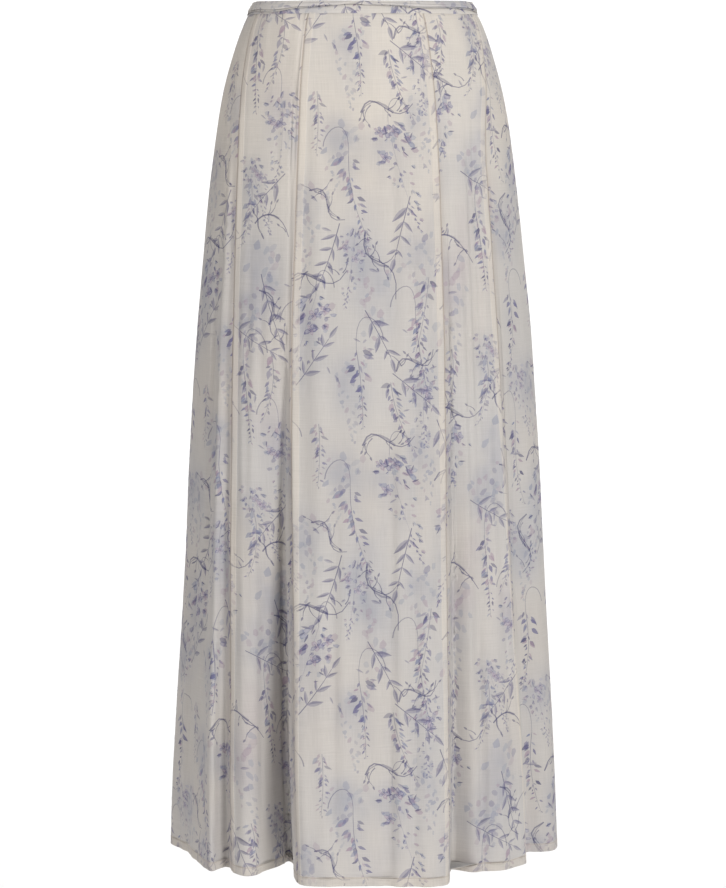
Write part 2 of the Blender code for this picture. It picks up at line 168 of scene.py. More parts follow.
# Thin shells: how far the voile lies off the middle of its solid, its turned hem and edges
VOILE_LIFT = 0.0003
UNDER_LIFT = -0.0002
HEM_TURN = 0.010
HEM_RADIUS = 0.0006
EDGE_RADIUS = 0.0005
EDGE_TURN = 0.006
ALLOWANCE = 0.0085
ALLOWANCE_LIFT = 0.0005
ALLOWANCE_STEP = 0.0012
SEAM_DIP = 0.0006
SEAM_WIDTH = 0.0013
PUCKER = 0.00035
COVERED_MARGIN = 0.015
SMALL_STROKE = 0.009

# How finely the cloth is divided
GRID_STATIONS = 1800
GRID_DROPS = 220
ROW_STEP = 0.0042
COLUMN_STEP = 0.0055
RUN_POINTS = 1200
EDGE_COLUMNS = (0.0011, 0.0026, 0.0050, 0.0078, 0.0092)
NORMAL_STEP = 0.0003
LEVEL = np.array((1.0, 1.0, 0.0))
UP = np.array((0.0, 0.0, 1.0))

# Stitches and small folds
STITCH_STEP = 0.0026
STITCH_LENGTH = 0.0019
STITCH_THICK = 0.00035
FLUTE_COUNT = 64
NEVER_REPEATS = 4000

FOLD_NAMES = tuple(row[0] for row in FOLDS)
FOLD_COUNT = len(FOLDS)
SECTION_DROPS = np.array([row[1] for row in SECTIONS])


# Smooth curves through the tables

def monotone_slopes(knots, values):
    step = np.diff(knots)
    rise = np.diff(values) / step
    slopes = np.zeros(len(values))
    slopes[0] = rise[0]
    slopes[-1] = rise[-1]
    for i in range(1, len(values) - 1):
        if rise[i - 1] * rise[i] > 0:
            first = 2 * step[i] + step[i - 1]
            second = step[i] + 2 * step[i - 1]
            slopes[i] = (first + second) / (first / rise[i - 1] + second / rise[i])
    return slopes


def curve(knots, values, at):
    at = np.asarray(at, dtype=float)
    slopes = monotone_slopes(knots, values)
    i = np.clip(np.searchsorted(knots, at, side="right") - 1, 0, len(knots) - 2)
    step = knots[i + 1] - knots[i]
    t = (at - knots[i]) / step
    return ((2 * t ** 3 - 3 * t ** 2 + 1) * values[i] + (t ** 3 - 2 * t ** 2 + t) * step * slopes[i]
            + (3 * t ** 2 - 2 * t ** 3) * values[i + 1] + (t ** 3 - t ** 2) * step * slopes[i + 1])


def ease(t):
    t = np.clip(t, 0.0, 1.0)
    return t * t * (3 - 2 * t)


def unit(vectors):
    """The same directions, one long."""
    return vectors / np.linalg.norm(vectors, axis=-1, keepdims=True)


def run_of(points):
    """How far along its line each point lies."""
    return np.concatenate([[0.0], np.cumsum(np.linalg.norm(np.diff(points, axis=0), axis=1))])


def between(table, row, col):
    """Values of a table at places between its rows and columns."""
    r = np.clip(row.astype(int), 0, table.shape[0] - 2)
    c = np.clip(col.astype(int), 0, table.shape[1] - 2)
    shape = (len(row),) + (1,) * (table.ndim - 2)
    fr = (row - r).reshape(shape)
    fc = (col - c).reshape(shape)
    low = table[r, c] * (1 - fc) + table[r, c + 1] * fc
    high = table[r + 1, c] * (1 - fc) + table[r + 1, c + 1] * fc
    return low * (1 - fr) + high * fr


def figure_point(angle, drop):
    sizes = [curve(SECTION_DROPS, np.array([row[k] for row in SECTIONS]), drop) for k in (2, 3, 4, 5)]
    wide, front, back, square = sizes
    across = np.sin(angle)
    ahead = np.cos(angle)
    reach = (np.abs(across) ** square + np.abs(ahead) ** square) ** (-1.0 / square)
    deep = np.where(ahead > 0, front, back)
    return wide * across * reach, deep * ahead * reach


def fold_tables():
    hem_x = np.array([row[4] for row in FOLDS])
    hem_y = np.array([row[5] for row in FOLDS])
    ring = np.hypot(np.diff(np.append(hem_x, hem_x[0])), np.diff(np.append(hem_y, hem_y[0])))
    stations = np.concatenate([[0.0], np.cumsum(ring)])
    turn = stations[-1]
    angles = np.radians([[row[1], row[2], row[3]] for row in FOLDS])
    base_x, base_y = figure_point(angles[:, 2], np.full(FOLD_COUNT, LENGTH))
    begins = np.array([row[6] for row in FOLDS])
    full = 2 * math.pi
    return (turn,
            np.concatenate([stations[:-1] - turn, stations[:-1], stations[:-1] + turn]),
            np.concatenate([angles - full, angles, angles + full]),
            np.tile(hem_x - base_x, 3), np.tile(hem_y - base_y, 3), np.tile(begins, 3))


TURN, STATIONS, ANGLES, MOVE_X, MOVE_Y, BEGINS = fold_tables()


def station_of(name):
    return STATIONS[FOLD_COUNT + FOLD_NAMES.index(name)]


def ring_points(stations, drop):
    """Points of the folded cloth at one drop."""
    heights = np.array([0.0, HIP_DROP, LENGTH])
    angles = np.array([curve(heights, row, drop) for row in ANGLES])
    grow = np.maximum((drop - BEGINS) / (LENGTH - BEGINS), 0.0) ** FOLD_GROWTH
    angle = curve(STATIONS, angles, stations)
    base_x, base_y = figure_point(angle, np.full(len(stations), drop))
    x = base_x + curve(STATIONS, MOVE_X * grow, stations)
    y = base_y + curve(STATIONS, MOVE_Y * grow, stations)
    return np.stack([x, -y, np.full(len(x), BAND_TOP - drop)], 1)


# The folded surface as one fine grid, with its directions and stretch

def surface_grid():
    step = TURN / GRID_STATIONS
    stations = np.arange(-1, GRID_STATIONS + 2) * step
    drops = np.linspace(0.0, LENGTH, GRID_DROPS + 1)
    points = np.array([ring_points(stations, drop) for drop in drops])
    along = (points[:, 2:] - points[:, :-2]) / (2 * step)
    points = points[:, 1:-1]
    down = np.gradient(points, drops[1] - drops[0], axis=0)
    out = unit(np.cross(down, along))
    return np.concatenate([points, out, along, down], axis=2)


GRID = surface_grid()


def sample(stations, drops):
    """Point, outward normal, along and down directions at any places on the cloth."""
    col = (stations % TURN) / TURN * GRID_STATIONS
    row = np.clip(drops / LENGTH, 0.0, 1.0) * GRID_DROPS
    mix = between(GRID, row, col)
    return mix[:, :3], unit(mix[:, 3:6]), unit(mix[:, 6:9]), unit(mix[:, 9:])


# Soft creases, the same on every side

def random_field(x, y, seed, wrap=NEVER_REPEATS):
    """Smooth random values from -1 to 1, one cell a unit, repeating every wrap cells in x."""
    i = np.floor(x).astype(np.int64)
    j = np.floor(y).astype(np.int64)
    fx = x - i
    fy = y - j
    sx = fx ** 3 * (fx * (fx * 6 - 15) + 10)
    sy = fy ** 3 * (fy * (fy * 6 - 15) + 10)

    def corner(a, b):
        h = ((a % wrap) * 374761393 + b * 668265263 + seed * 1274126177) & 0xFFFFFFFF
        h = ((h ^ (h >> 13)) * 1103515245) & 0xFFFFFFFF
        return ((h ^ (h >> 16)) & 0xFFFF) / 32767.5 - 1.0

    low = corner(i, j) * (1 - sx) + corner(i + 1, j) * sx
    high = corner(i, j + 1) * (1 - sx) + corner(i + 1, j + 1) * sx
    return low * (1 - sy) + high * sy


def flute_table():
    """Minor folds: station, width, height, where each starts and stops, sideways drift."""
    rng = np.random.default_rng(41)
    rows = []
    for k in range(FLUTE_COUNT):
        rows.append((TURN * (k + rng.uniform(-0.4, 0.4)) / FLUTE_COUNT, rng.uniform(0.008, 0.020),
                     rng.choice((-1, 1)) * rng.uniform(0.0012, 0.0034), rng.uniform(0.02, 0.55),
                     rng.uniform(0.75, 1.3), rng.uniform(-0.020, 0.020)))
    return rows


FLUTES = flute_table()


def relief(stations, drops):
    """Height of the soft creases off the main folds."""
    height = np.zeros(len(stations))
    for place, width, tall, start, stop, drift in FLUTES:
        gap = (stations - place - drift * drops + TURN / 2) % TURN - TURN / 2
        bump = np.maximum(1 - (gap / width) ** 2, 0.0) ** 2
        height += tall * bump * ease((drops - start) / 0.22) * ease((stop - drops) / 0.25)
    turn = stations / TURN
    loose = ease((drops - 0.05) / 0.4)
    height += 0.0009 * loose * random_field(turn * 46, drops / 0.26 + 3, 7, 46)
    height += 0.00045 * random_field(turn * 150, drops / 0.075 + 9, 19, 150)
    gather = np.exp(-np.maximum(drops - BAND_HEIGHT, 0.0) / 0.035)
    height += 0.00045 * gather * random_field(turn * 128, drops / 0.05, 23, 128)
    return height


def under_sink(stations, depth):
    """How far the under flap and its end of the band lie inside the over flap."""
    free = station_of("over_edge") + SINK_PAST_EDGE
    joined = station_of("seam_under") - SINK_BEFORE_SEAM
    return depth * (1.0 - ease((stations - free) / (joined - free)))


# Colours of the cloth and inks, as seen, from 0 to 255
CREAM = np.array((213, 207, 199.0))
# GREIGE is the painted shade that the gores' cream ground turns to lower down
GREIGE = np.array((200, 196, 192.0))
WARM = np.array((222, 213, 200.0))
INKS = {
    "dark": (72, 72, 112), "violet": (108, 106, 142), "blue": (120, 128, 158),
    "mauve": (158, 138, 156), "grey": (146, 152, 168), "pale": (188, 185, 194),
    "warm": WARM, "thread": (150, 132, 116),
}


def linear(colour):
    c = np.clip(np.asarray(colour, dtype=float) / 255.0, 0.0, 1.0)
    return np.where(c <= 0.04045, c / 12.92, ((c + 0.055) / 1.055) ** 2.4)


# Strokes of the print: each is an outline in metres, an ink and how much of it covers.
# Longer leaves and petals than these have more points
LONG_LEAF = 0.011
LONG_PETAL = 0.0085


def turned(points, x, y, heading):
    """Points drawn along +x, turned to the heading in degrees (90 hangs down) and moved."""
    a = math.radians(heading)
    p = np.asarray(points, dtype=float)
    return np.stack([x + p[:, 0] * math.cos(a) - p[:, 1] * math.sin(a),
                     y + p[:, 0] * math.sin(a) + p[:, 1] * math.cos(a)], 1)


def leaf_outline(x, y, heading, length, width, belly=0.8):
    t = np.linspace(0.0, 1.0, 6 if length > LONG_LEAF else 4)
    half = 0.5 * width * np.sin(math.pi * t ** belly)
    upper = np.stack([t * length, half], 1)
    lower = np.stack([t * length, -half], 1)[-2:0:-1]
    return turned(np.concatenate([upper, lower]), x, y, heading)


def petal_outline(x, y, heading, length, width, rng):
    a = np.linspace(0, 2 * math.pi, 8 if length > LONG_PETAL else 6)[:-1]
    wobble = 1 + rng.uniform(-0.32, 0.32, len(a))
    points = np.stack([0.5 * length * (1 + np.cos(a) * wobble), 0.5 * width * np.sin(a) * wobble], 1)
    return turned(points, x, y, heading)


def ribbon(points, width_start, width_end, count=7):
    """Thin stroke along a smooth line through the points."""
    p = np.asarray(points, dtype=float)
    knots = np.arange(len(p), dtype=float)
    at = np.linspace(0, len(p) - 1, count)
    if len(p) > 2:
        x = np.polyval(np.polyfit(knots, p[:, 0], min(3, len(p) - 1)), at)
        y = np.polyval(np.polyfit(knots, p[:, 1], min(3, len(p) - 1)), at)
    else:
        x = np.interp(at, knots, p[:, 0])
        y = np.interp(at, knots, p[:, 1])
    dx = np.gradient(x)
    dy = np.gradient(y)
    size = np.maximum(np.hypot(dx, dy), 1e-9)
    half = 0.5 * np.linspace(width_start, width_end, count)
    left = np.stack([x - dy / size * half, y + dx / size * half], 1)
    right = np.stack([x + dy / size * half, y - dx / size * half], 1)[::-1]
    return np.concatenate([left, right])


def flower_petal(x, y, heading, size, rng, strength):
    """One small petal: a dab of colour, now and then with a paler middle or a dark vein."""
    ink = ("violet", "mauve", "blue", "grey")[rng.choice(4, p=(0.34, 0.20, 0.24, 0.22))]
    strokes = [(petal_outline(x, y, heading, size, rng.uniform(0.5, 0.85) * size, rng), ink,
                rng.uniform(0.34, 0.60) * strength)]
    if rng.random() < 0.3:
        px = x + 0.16 * size * math.cos(math.radians(heading))
        py = y + 0.16 * size * math.sin(math.radians(heading))
        strokes.append((petal_outline(px, py, heading, 0.66 * size, 0.4 * size, rng), "pale", 0.5))
    if rng.random() < 0.7:
        strokes.append((leaf_outline(x, y, heading + rng.uniform(-50, 50), 1.1 * size, 0.24 * size),
                        "dark", rng.uniform(0.4, 0.7) * strength))
    return strokes


def hanging_bunch(x, y, length, width, rng, strength):
    """Full raceme: petals in fans, wide at the top and closing to buds at the tip."""
    strokes = []
    lean = rng.uniform(-0.2, 0.2) * width
    stem = [(x, y), (x + 0.7 * lean, y + 0.5 * length), (x + lean, y + length)]
    strokes.append((ribbon(stem, 0.0007, 0.0003, 6), "violet", 0.32 * strength))
    levels = 19
    for k in range(levels):
        t = (k + 0.4) / levels
        half = 0.5 * width * (1 - t) ** 0.8 * (0.5 + 0.5 * min(1.0, t / 0.2))
        for n in range(5 if t < 0.3 else 3 if t < 0.65 else 2):
            side = rng.uniform(-1, 1)
            px = x + lean * t + side * half
            py = y + t * length + rng.uniform(-0.8, 0.8) * length / levels
            size = width * (0.145 - 0.075 * t) * rng.uniform(0.6, 1.4)
            strokes.extend(flower_petal(px, py, 90 - side * 70 + rng.uniform(-35, 35), size, rng, strength))
    for k in range(3):
        px = x + rng.uniform(-0.3, 0.3) * width
        py = y + rng.uniform(0.08, 0.4) * length
        strokes.extend(open_blossom(px, py, 0.14 * width, rng, strength))
    for k in range(8):
        side = 1 if k % 2 else -1
        t = 0.74 + 0.036 * k
        strokes.append((leaf_outline(x + lean * t, y + t * length, 90 - side * rng.uniform(20, 55),
                                     0.0042, 0.0017), "violet", 0.7 * strength))
    return strokes


def ghost_bunch(x, y, length, width, rng, strength):
    """The same flower printed faint and soft, as through a second layer."""
    strokes = []
    levels = 32
    for k in range(levels):
        t = (k + 0.5) / levels
        px = x + rng.uniform(-0.5, 0.5) * width * (1 - t) ** 0.7
        py = y + t * length
        size = width * (0.20 - 0.10 * t) * rng.uniform(0.7, 1.3)
        ink = ("grey", "blue", "violet", "mauve")[rng.choice(4, p=(0.3, 0.25, 0.2, 0.25))]
        strokes.append((petal_outline(px, py, rng.uniform(30, 150), size, 0.65 * size, rng), ink,
                        rng.uniform(0.20, 0.42) * strength))
    return strokes


def bud_bunch(x, y, length, width, rng, strength):
    """Slim crisp raceme: a bent stem with pointed buds on both sides."""
    bend = rng.uniform(-0.4, 0.4) * width
    strokes = [(ribbon([(x, y), (x + 0.1 * bend, y + 0.5 * length), (x + bend, y + length)],
                       0.0008, 0.0004), "dark", 0.55 * strength)]
    levels = 18
    for k in range(levels):
        t = (k + 0.5) / levels
        cx = x + bend * t * t
        cy = y + t * length
        for side in (-1, 1, -1):
            if rng.random() < 0.25:
                continue
            reach = 0.44 * width * (1 - 0.68 * t) * rng.uniform(0.45, 1.2)
            heading = 90 - side * rng.uniform(10, 72)
            ink = ("dark", "violet", "violet", "blue", "mauve")[rng.integers(5)]
            px = cx + side * rng.uniform(0.0, 0.55) * reach
            strokes.append((leaf_outline(px, cy + rng.uniform(-0.003, 0.002), heading, reach,
                                         reach * rng.uniform(0.28, 0.5), 0.7), ink,
                            rng.uniform(0.45, 0.8) * strength))
    return strokes


def open_blossom(x, y, size, rng, strength):
    strokes = []
    for k in range(5):
        heading = 72 * k + rng.uniform(-16, 16)
        length = size * rng.uniform(0.8, 1.15)
        strokes.append((petal_outline(x, y, heading, length, 0.66 * length, rng),
                        ("violet", "mauve")[k % 2], 0.6 * strength))
        ox = x + 0.14 * length * math.cos(math.radians(heading))
        oy = y + 0.14 * length * math.sin(math.radians(heading))
        strokes.append((petal_outline(ox, oy, heading, 0.7 * length, 0.4 * length, rng), "pale", 0.55))
        strokes.append((leaf_outline(x, y, heading, 0.55 * length, 0.1 * length), "dark", 0.6 * strength))
    return strokes


def leaf(x, y, heading, length, rng, strength):
    width = length * rng.uniform(0.22, 0.32)
    shade = turned([(0.05 * length, 0), (0.4 * length, -0.46 * width), (0.8 * length, -0.22 * width),
                    (length, 0)], x, y, heading)
    return [(leaf_outline(x, y, heading, length, width), "violet", 0.45 * strength),
            (shade, "dark", 0.42 * strength)]


def leaf_spray(x, y, heading, length, pairs, rng, strength):
    """A bent stem with lance-shaped leaves in pairs and one at the tip."""
    bend = rng.uniform(-0.22, 0.22) * length
    line = turned([(0, 0), (0.5 * length, 0.6 * bend), (length, bend)], x, y, heading)
    strokes = [(ribbon(line, 0.0011, 0.0006, 8), "dark", 0.72 * strength)]
    bulge = line[1] - 0.5 * (line[0] + line[2])
    for k in range(pairs):
        t = (k + 0.8) / (pairs + 0.4)
        px, py = line[0] + (line[2] - line[0]) * t + bulge * 4 * t * (1 - t)
        for side in (-1, 1):
            size = 0.021 * (1 - 0.35 * t) * rng.uniform(0.75, 1.2)
            strokes.extend(leaf(px, py, heading + side * rng.uniform(30, 56), size, rng, strength))
    strokes.extend(leaf(line[2][0], line[2][1], heading + 8, 0.018, rng, strength))
    return strokes


def woody_branch(points, rng, strength):
    """Bent twig that swells in the middle, with side twigs and buds."""
    p = np.asarray(points)
    middle = len(p) // 2
    strokes = [(ribbon(p, 0.0018, 0.0009, 10), "dark", 0.66 * strength),
               (ribbon(p[:middle + 1], 0.0006, 0.0028, 6), "dark", 0.45 * strength)]
    for k in range(7):
        t = rng.uniform(0.05, 0.95) * (len(p) - 1)
        x = np.interp(t, np.arange(len(p)), p[:, 0])
        y = np.interp(t, np.arange(len(p)), p[:, 1])
        heading = rng.choice((-1, 1)) * rng.uniform(25, 75) + (180 if k % 2 else 0)
        size = rng.uniform(0.007, 0.018)
        twig = turned([(0, 0), (0.5 * size, 0.12 * size), (size, 0)], x, y, heading)
        strokes.append((ribbon(twig, 0.0014, 0.0005, 4), "dark", 0.62 * strength))
        strokes.append((leaf_outline(twig[2][0], twig[2][1], heading, 0.0055, 0.0024),
                        "dark", 0.62 * strength))
    return strokes


def tendril(x, y, rise, run, strength):
    """Thin stem that leaves a branch, arches over and drops to a bunch."""
    line = [(x + run, y - 0.35 * rise), (x + 0.7 * run, y - 0.95 * rise), (x + 0.2 * run, y - rise),
            (x, y)]
    return [(ribbon(line, 0.0013, 0.0006, 12), "dark", 0.5 * strength)]


# The size of one repeat of the print in metres, how many loose leaves and small washes it has
REPEAT = (0.320, 0.368)
LOOSE_LEAVES = 36
SMALL_WASHES = 16
CM = 0.01

# Bunches, in centimetres: kind, across, down, length, width, strength
BUNCHES = (
    ("ghost", 11.6, 7.6, 12.0, 5.6, 1.0), ("ghost", 27.8, 19.6, 11.8, 5.4, 1.0),
    ("ghost", 4.2, 26.4, 11.0, 5.2, 1.0), ("ghost", 19.4, 11.0, 10.0, 5.0, 0.9),
    ("full", 4.2, 8.8, 12.6, 5.4, 1.0), ("full", 20.2, 23.8, 12.4, 5.4, 1.0),
    ("full", 12.2, 28.2, 10.4, 4.6, 0.85), ("full", 28.2, 4.6, 12.0, 5.0, 1.0),
    ("buds", 15.6, 3.6, 9.2, 3.1, 1.0), ("buds", 23.8, 8.4, 9.4, 3.0, 0.95),
    ("buds", 8.3, 21.6, 9.0, 2.9, 1.0), ("buds", 15.4, 18.0, 9.8, 3.1, 1.0),
    ("buds", 31.2, 26.2, 9.0, 2.9, 0.95), ("buds", 0.7, 21.8, 8.4, 2.8, 0.85),
    ("buds", 24.6, 29.8, 8.8, 2.9, 1.0), ("buds", 8.8, 1.4, 7.4, 2.5, 0.8),
    ("buds", 20.4, 1.2, 7.0, 2.4, 0.8), ("ghost", 8.2, 14.2, 9.6, 4.6, 1.0),
    ("ghost", 32.0, 16.6, 9.4, 4.4, 1.0), ("ghost", 16.2, 30.0, 9.0, 4.6, 1.0),
    ("ghost", 23.8, 4.2, 9.0, 4.4, 1.0), ("ghost", 24.4, 31.0, 9.0, 4.4, 1.0),
    ("ghost", 0.4, 1.6, 8.6, 4.2, 1.0), ("full", 8.6, 35.4, 8.4, 3.8, 0.8),
    ("full", 32.2, 31.6, 9.0, 4.0, 0.85), ("full", 15.8, 11.6, 8.0, 3.8, 0.75),
    ("full", 24.6, 16.4, 8.6, 3.8, 0.8), ("buds", 11.8, 20.6, 7.6, 2.6, 0.85),
    ("buds", 28.4, 33.4, 7.8, 2.6, 0.9), ("buds", 4.4, 0.2, 7.4, 2.5, 0.85),
)

# Arching stems, in centimetres: where each ends, rise, run, strength
TENDRILS = (
    (15.6, 3.6, 2.6, 2.8, 1.0), (23.8, 8.4, 3.0, -2.8, 0.95), (8.3, 21.6, 3.6, 3.0, 1.0),
    (15.4, 18.0, 3.2, -2.6, 1.0), (31.2, 26.2, 3.2, -2.8, 0.95), (24.6, 29.8, 3.4, 3.0, 1.0),
    (4.2, 8.8, 2.4, -2.2, 0.95), (20.2, 23.8, 2.6, 2.0, 1.0), (28.2, 4.6, 2.4, 2.2, 0.95),
    (12.2, 28.2, 2.6, -2.4, 0.9),
)

# Twigs: the points of each in centimetres, strength
BRANCHES = (
    (((1.2, 7.6), (3.2, 6.6), (5.6, 7.8), (8.2, 6.8)), 0.9),
    (((9.4, 6.0), (10.8, 5.0), (12.4, 5.4), (13.6, 7.4)), 0.9),
    (((16.8, 22.8), (18.8, 21.4), (21.2, 22.4), (23.6, 21.0)), 1.0),
    (((25.2, 3.6), (26.8, 2.4), (28.8, 3.6), (31.0, 2.6)), 0.95),
    (((2.0, 25.4), (4.0, 24.2), (5.8, 25.2), (7.6, 27.4)), 0.9),
    (((25.6, 16.8), (26.2, 19.6), (28.2, 20.6), (29.0, 24.2)), 1.0),
    (((16.4, 29.0), (15.0, 31.0), (16.6, 33.2), (15.4, 35.8)), 0.85),
    (((10.2, 13.4), (12.0, 14.8), (11.6, 17.2), (13.4, 19.4)), 0.9),
    (((19.4, 12.2), (21.2, 12.6), (21.6, 14.6), (23.4, 15.4)), 0.85),
    (((29.0, 32.2), (30.2, 30.8), (32.0, 31.6), (33.2, 29.8)), 0.9),
)

# Sprays of leaves, in centimetres: across, down, heading, length, pairs of leaves, strength
SPRAYS = (
    (10.4, 11.6, 62, 7.2, 4, 0.95), (22.8, 15.8, 118, 6.8, 4, 0.95), (1.6, 0.8, 74, 6.6, 4, 0.95),
    (30.6, 12.8, 98, 7.0, 4, 0.95), (17.8, 33.8, -62, 6.4, 3, 0.9), (6.4, 17.2, 22, 6.8, 4, 0.85),
    (25.6, 25.4, 68, 6.0, 3, 0.95), (13.0, 0.4, 128, 5.8, 3, 0.85), (28.6, 32.4, 40, 5.6, 3, 0.9),
)


def swing_table():
    """How far each bunch swings sideways and bows, as shares of its length."""
    rng = np.random.default_rng(2027)
    return [(rng.uniform(-0.22, 0.22), rng.uniform(-0.24, 0.24)) for row in BUNCHES]


SWINGS = swing_table()


def swung(fall, length, swing):
    """Sideways move at this share of a bunch's length."""
    return length * (swing[0] * fall + swing[1] * fall * abs(fall))


def draw_repeat():
    """Every stroke of one repeat, faint ones first."""
    rng = np.random.default_rng(2026)
    strokes = []
    makers = {"ghost": ghost_bunch, "full": hanging_bunch, "buds": bud_bunch}
    for swing, (kind, x, y, length, width, strength) in zip(SWINGS, BUNCHES):
        for shape, ink, cover in makers[kind](x * CM, y * CM, length * CM, width * CM, rng, strength):
            side = swung(shape[:, 1] / (length * CM) - y / length, length * CM, swing)
            strokes.append((shape + np.stack([side, 0 * side], 1), ink, cover))
    for x, y, heading, length, pairs, strength in SPRAYS:
        strokes.extend(leaf_spray(x * CM, y * CM, heading, length * CM, pairs, rng, strength))
    for points, strength in BRANCHES:
        strokes.extend(woody_branch([(a * CM, b * CM) for a, b in points], rng, strength))
    for x, y, rise, run, strength in TENDRILS:
        strokes.extend(tendril(x * CM, y * CM, rise * CM, run * CM, strength))
    for k in range(LOOSE_LEAVES):
        x, y = rng.uniform(0, 1, 2) * REPEAT
        strokes.extend(leaf(x, y, rng.uniform(0, 360), rng.uniform(0.006, 0.014), rng, 0.7))
    return strokes


PRINT = draw_repeat()


# Watercolour patches under the print: how much of the ground they cover, by kind of bunch
WASH_COVER = {"full": 0.24, "ghost": 0.24, "buds": 0.08}


def wash_table():
    """Soft patches of one repeat: place, half width, half height, ink, cover."""
    rng = np.random.default_rng(77)
    washes = []
    for swing, (kind, x, y, length, width, strength) in zip(SWINGS, BUNCHES):
        cover = WASH_COVER[kind] * strength
        middle = x + swung(0.38, length, swing)
        upper = x - 0.2 * width + swung(0.22, length, swing)
        washes.append((middle * CM, (y + 0.38 * length) * CM, 0.50 * width * CM, 0.44 * length * CM,
                       "grey", cover))
        washes.append((upper * CM, (y + 0.22 * length) * CM, 0.36 * width * CM, 0.24 * length * CM,
                       "blue", 0.7 * cover))
    for k in range(SMALL_WASHES):
        x, y = rng.uniform(0, 1, 2) * REPEAT
        washes.append((x, y, rng.uniform(0.012, 0.028), rng.uniform(0.018, 0.040),
                       ("grey", "blue", "mauve", "warm")[k % 4], 0.14))
    return washes


WASHES = wash_table()


def washed(base, u, v, start):
    """The ground with the patches laid over it, mottled as if by a wet brush."""
    wide, tall = REPEAT
    mottle = 0.85 + 0.35 * random_field((u + 2.0) / 0.011, (v + 1.0) / 0.015, 91)
    for x, y, half_width, half_height, ink, cover in WASHES:
        across = (u - start[0] - x + 0.5 * wide) % wide - 0.5 * wide
        down = (v - start[1] - y + 0.5 * tall) % tall - 0.5 * tall
        inside = np.exp(-((across / half_width) ** 2 + (down / half_height) ** 2) ** 1.4)
        share = np.clip(cover * inside * mottle, 0.0, 1.0)[:, None]
        base = base * (1 - share) + linear(INKS[ink]) * share
    return base


def counterclockwise(shape):
    """The same outline, turning left all round, as the inlay needs."""
    x, y = shape[:, 0], shape[:, 1]
    twice_area = np.sum(x * np.roll(y, -1) - np.roll(x, -1) * y)
    return shape if twice_area > 0 else shape[::-1]


PRINT_BOXES = np.array([np.concatenate([s.min(axis=0), s.max(axis=0)]) for s, ink, cover in PRINT])


def print_over(low, high, start, reach_at):
    """The print's strokes over a stretch of cloth, leaving out those clear of its edges."""
    strokes = []
    wide, tall = REPEAT
    columns = range(math.floor((low[0] - start[0]) / wide) - 1, math.ceil((high[0] - start[0]) / wide) + 1)
    rows = range(math.floor((low[1] - start[1]) / tall) - 1, math.ceil((high[1] - start[1]) / tall) + 1)
    for i in columns:
        for j in rows:
            move = np.array((start[0] + i * wide, start[1] + j * tall))
            left, top = (PRINT_BOXES[:, :2] + move).T
            right, foot = (PRINT_BOXES[:, 2:] + move).T
            first, last = reach_at(0.5 * (top + foot))
            inside = (foot > low[1]) & (top < high[1]) & (left < last + 0.003) & (right > first - 0.003)
            for k in np.nonzero(inside)[0]:
                shape, ink, cover = PRINT[k]
                strokes.append((shape + move, ink, cover))
    return strokes


# Inlaying strokes into a sheet's flat cut

def spilt_strokes(flat, faces, sources, strokes):
    """Numbers of the strokes whose outline crosses itself, so that they fill more than their box."""
    corner = flat[np.array(faces)]
    first = corner[:, 1] - corner[:, 0]
    second = corner[:, 2] - corner[:, 0]
    areas = 0.5 * np.abs(first[:, 0] * second[:, 1] - first[:, 1] * second[:, 0])
    filled = np.zeros(len(strokes) + 1)
    for area, covering in zip(areas, sources):
        for k in set(covering):
            filled[k] += area
    boxes = np.array([np.prod(np.ptp(shape, axis=0)) for shape, ink, cover in strokes])
    return set(np.nonzero(filled[1:] > 1.05 * boxes + 1e-7)[0] + 1)


def inlay(outline, grid, lines, strokes):
    """Triangles of the flat cut whose edges follow the strokes, with each one's ink and clear share."""
    verts = [Vector(p) for p in outline]
    faces = [list(range(len(outline)))]
    for shape, ink, cover in strokes:
        start = len(verts)
        verts.extend(Vector(p) for p in counterclockwise(shape))
        faces.append(list(range(start, len(verts))))
    verts.extend(Vector(p) for p in grid)
    edges = []
    for line in lines:
        start = len(verts)
        verts.extend(Vector(p) for p in line)
        edges.extend((k, k + 1) for k in range(start, len(verts) - 1))
    found = delaunay_2d_cdt(verts, edges, faces, 0, 1e-6, True)
    flat = np.array([tuple(v) for v in found[0]])
    inks = [linear(INKS[ink]) for shape, ink, cover in strokes]
    covers = [cover for shape, ink, cover in strokes]
    spilt = spilt_strokes(flat, found[2], found[5], strokes)
    corners = []
    ink_sum = []
    clear = []
    for face, sources in zip(found[2], found[5]):
        if 0 not in sources:
            continue
        colour = np.zeros(3)
        left = 1.0
        for k in sorted(set(sources)):
            if k and k not in spilt:
                colour = colour * (1 - covers[k - 1]) + inks[k - 1] * covers[k - 1]
                left *= 1 - covers[k - 1]
        corners.append(face)
        ink_sum.append(colour)
        clear.append(left)
    return flat, np.array(corners), np.array(ink_sum), np.array(clear)


def facing(place, u, v):
    """Outward normals of a placed sheet, from how it falls and runs."""
    across = place(u + NORMAL_STEP, v) - place(u - NORMAL_STEP, v)
    fall = place(u, v + NORMAL_STEP) - place(u, v - NORMAL_STEP)
    normal = np.cross(fall, across)
    return normal / np.maximum(np.linalg.norm(normal, axis=1, keepdims=True), 1e-12)


def linked(name, data):
    """A new object in the scene."""
    made = bpy.data.objects.new(name, data)
    bpy.context.collection.objects.link(made)
    return made


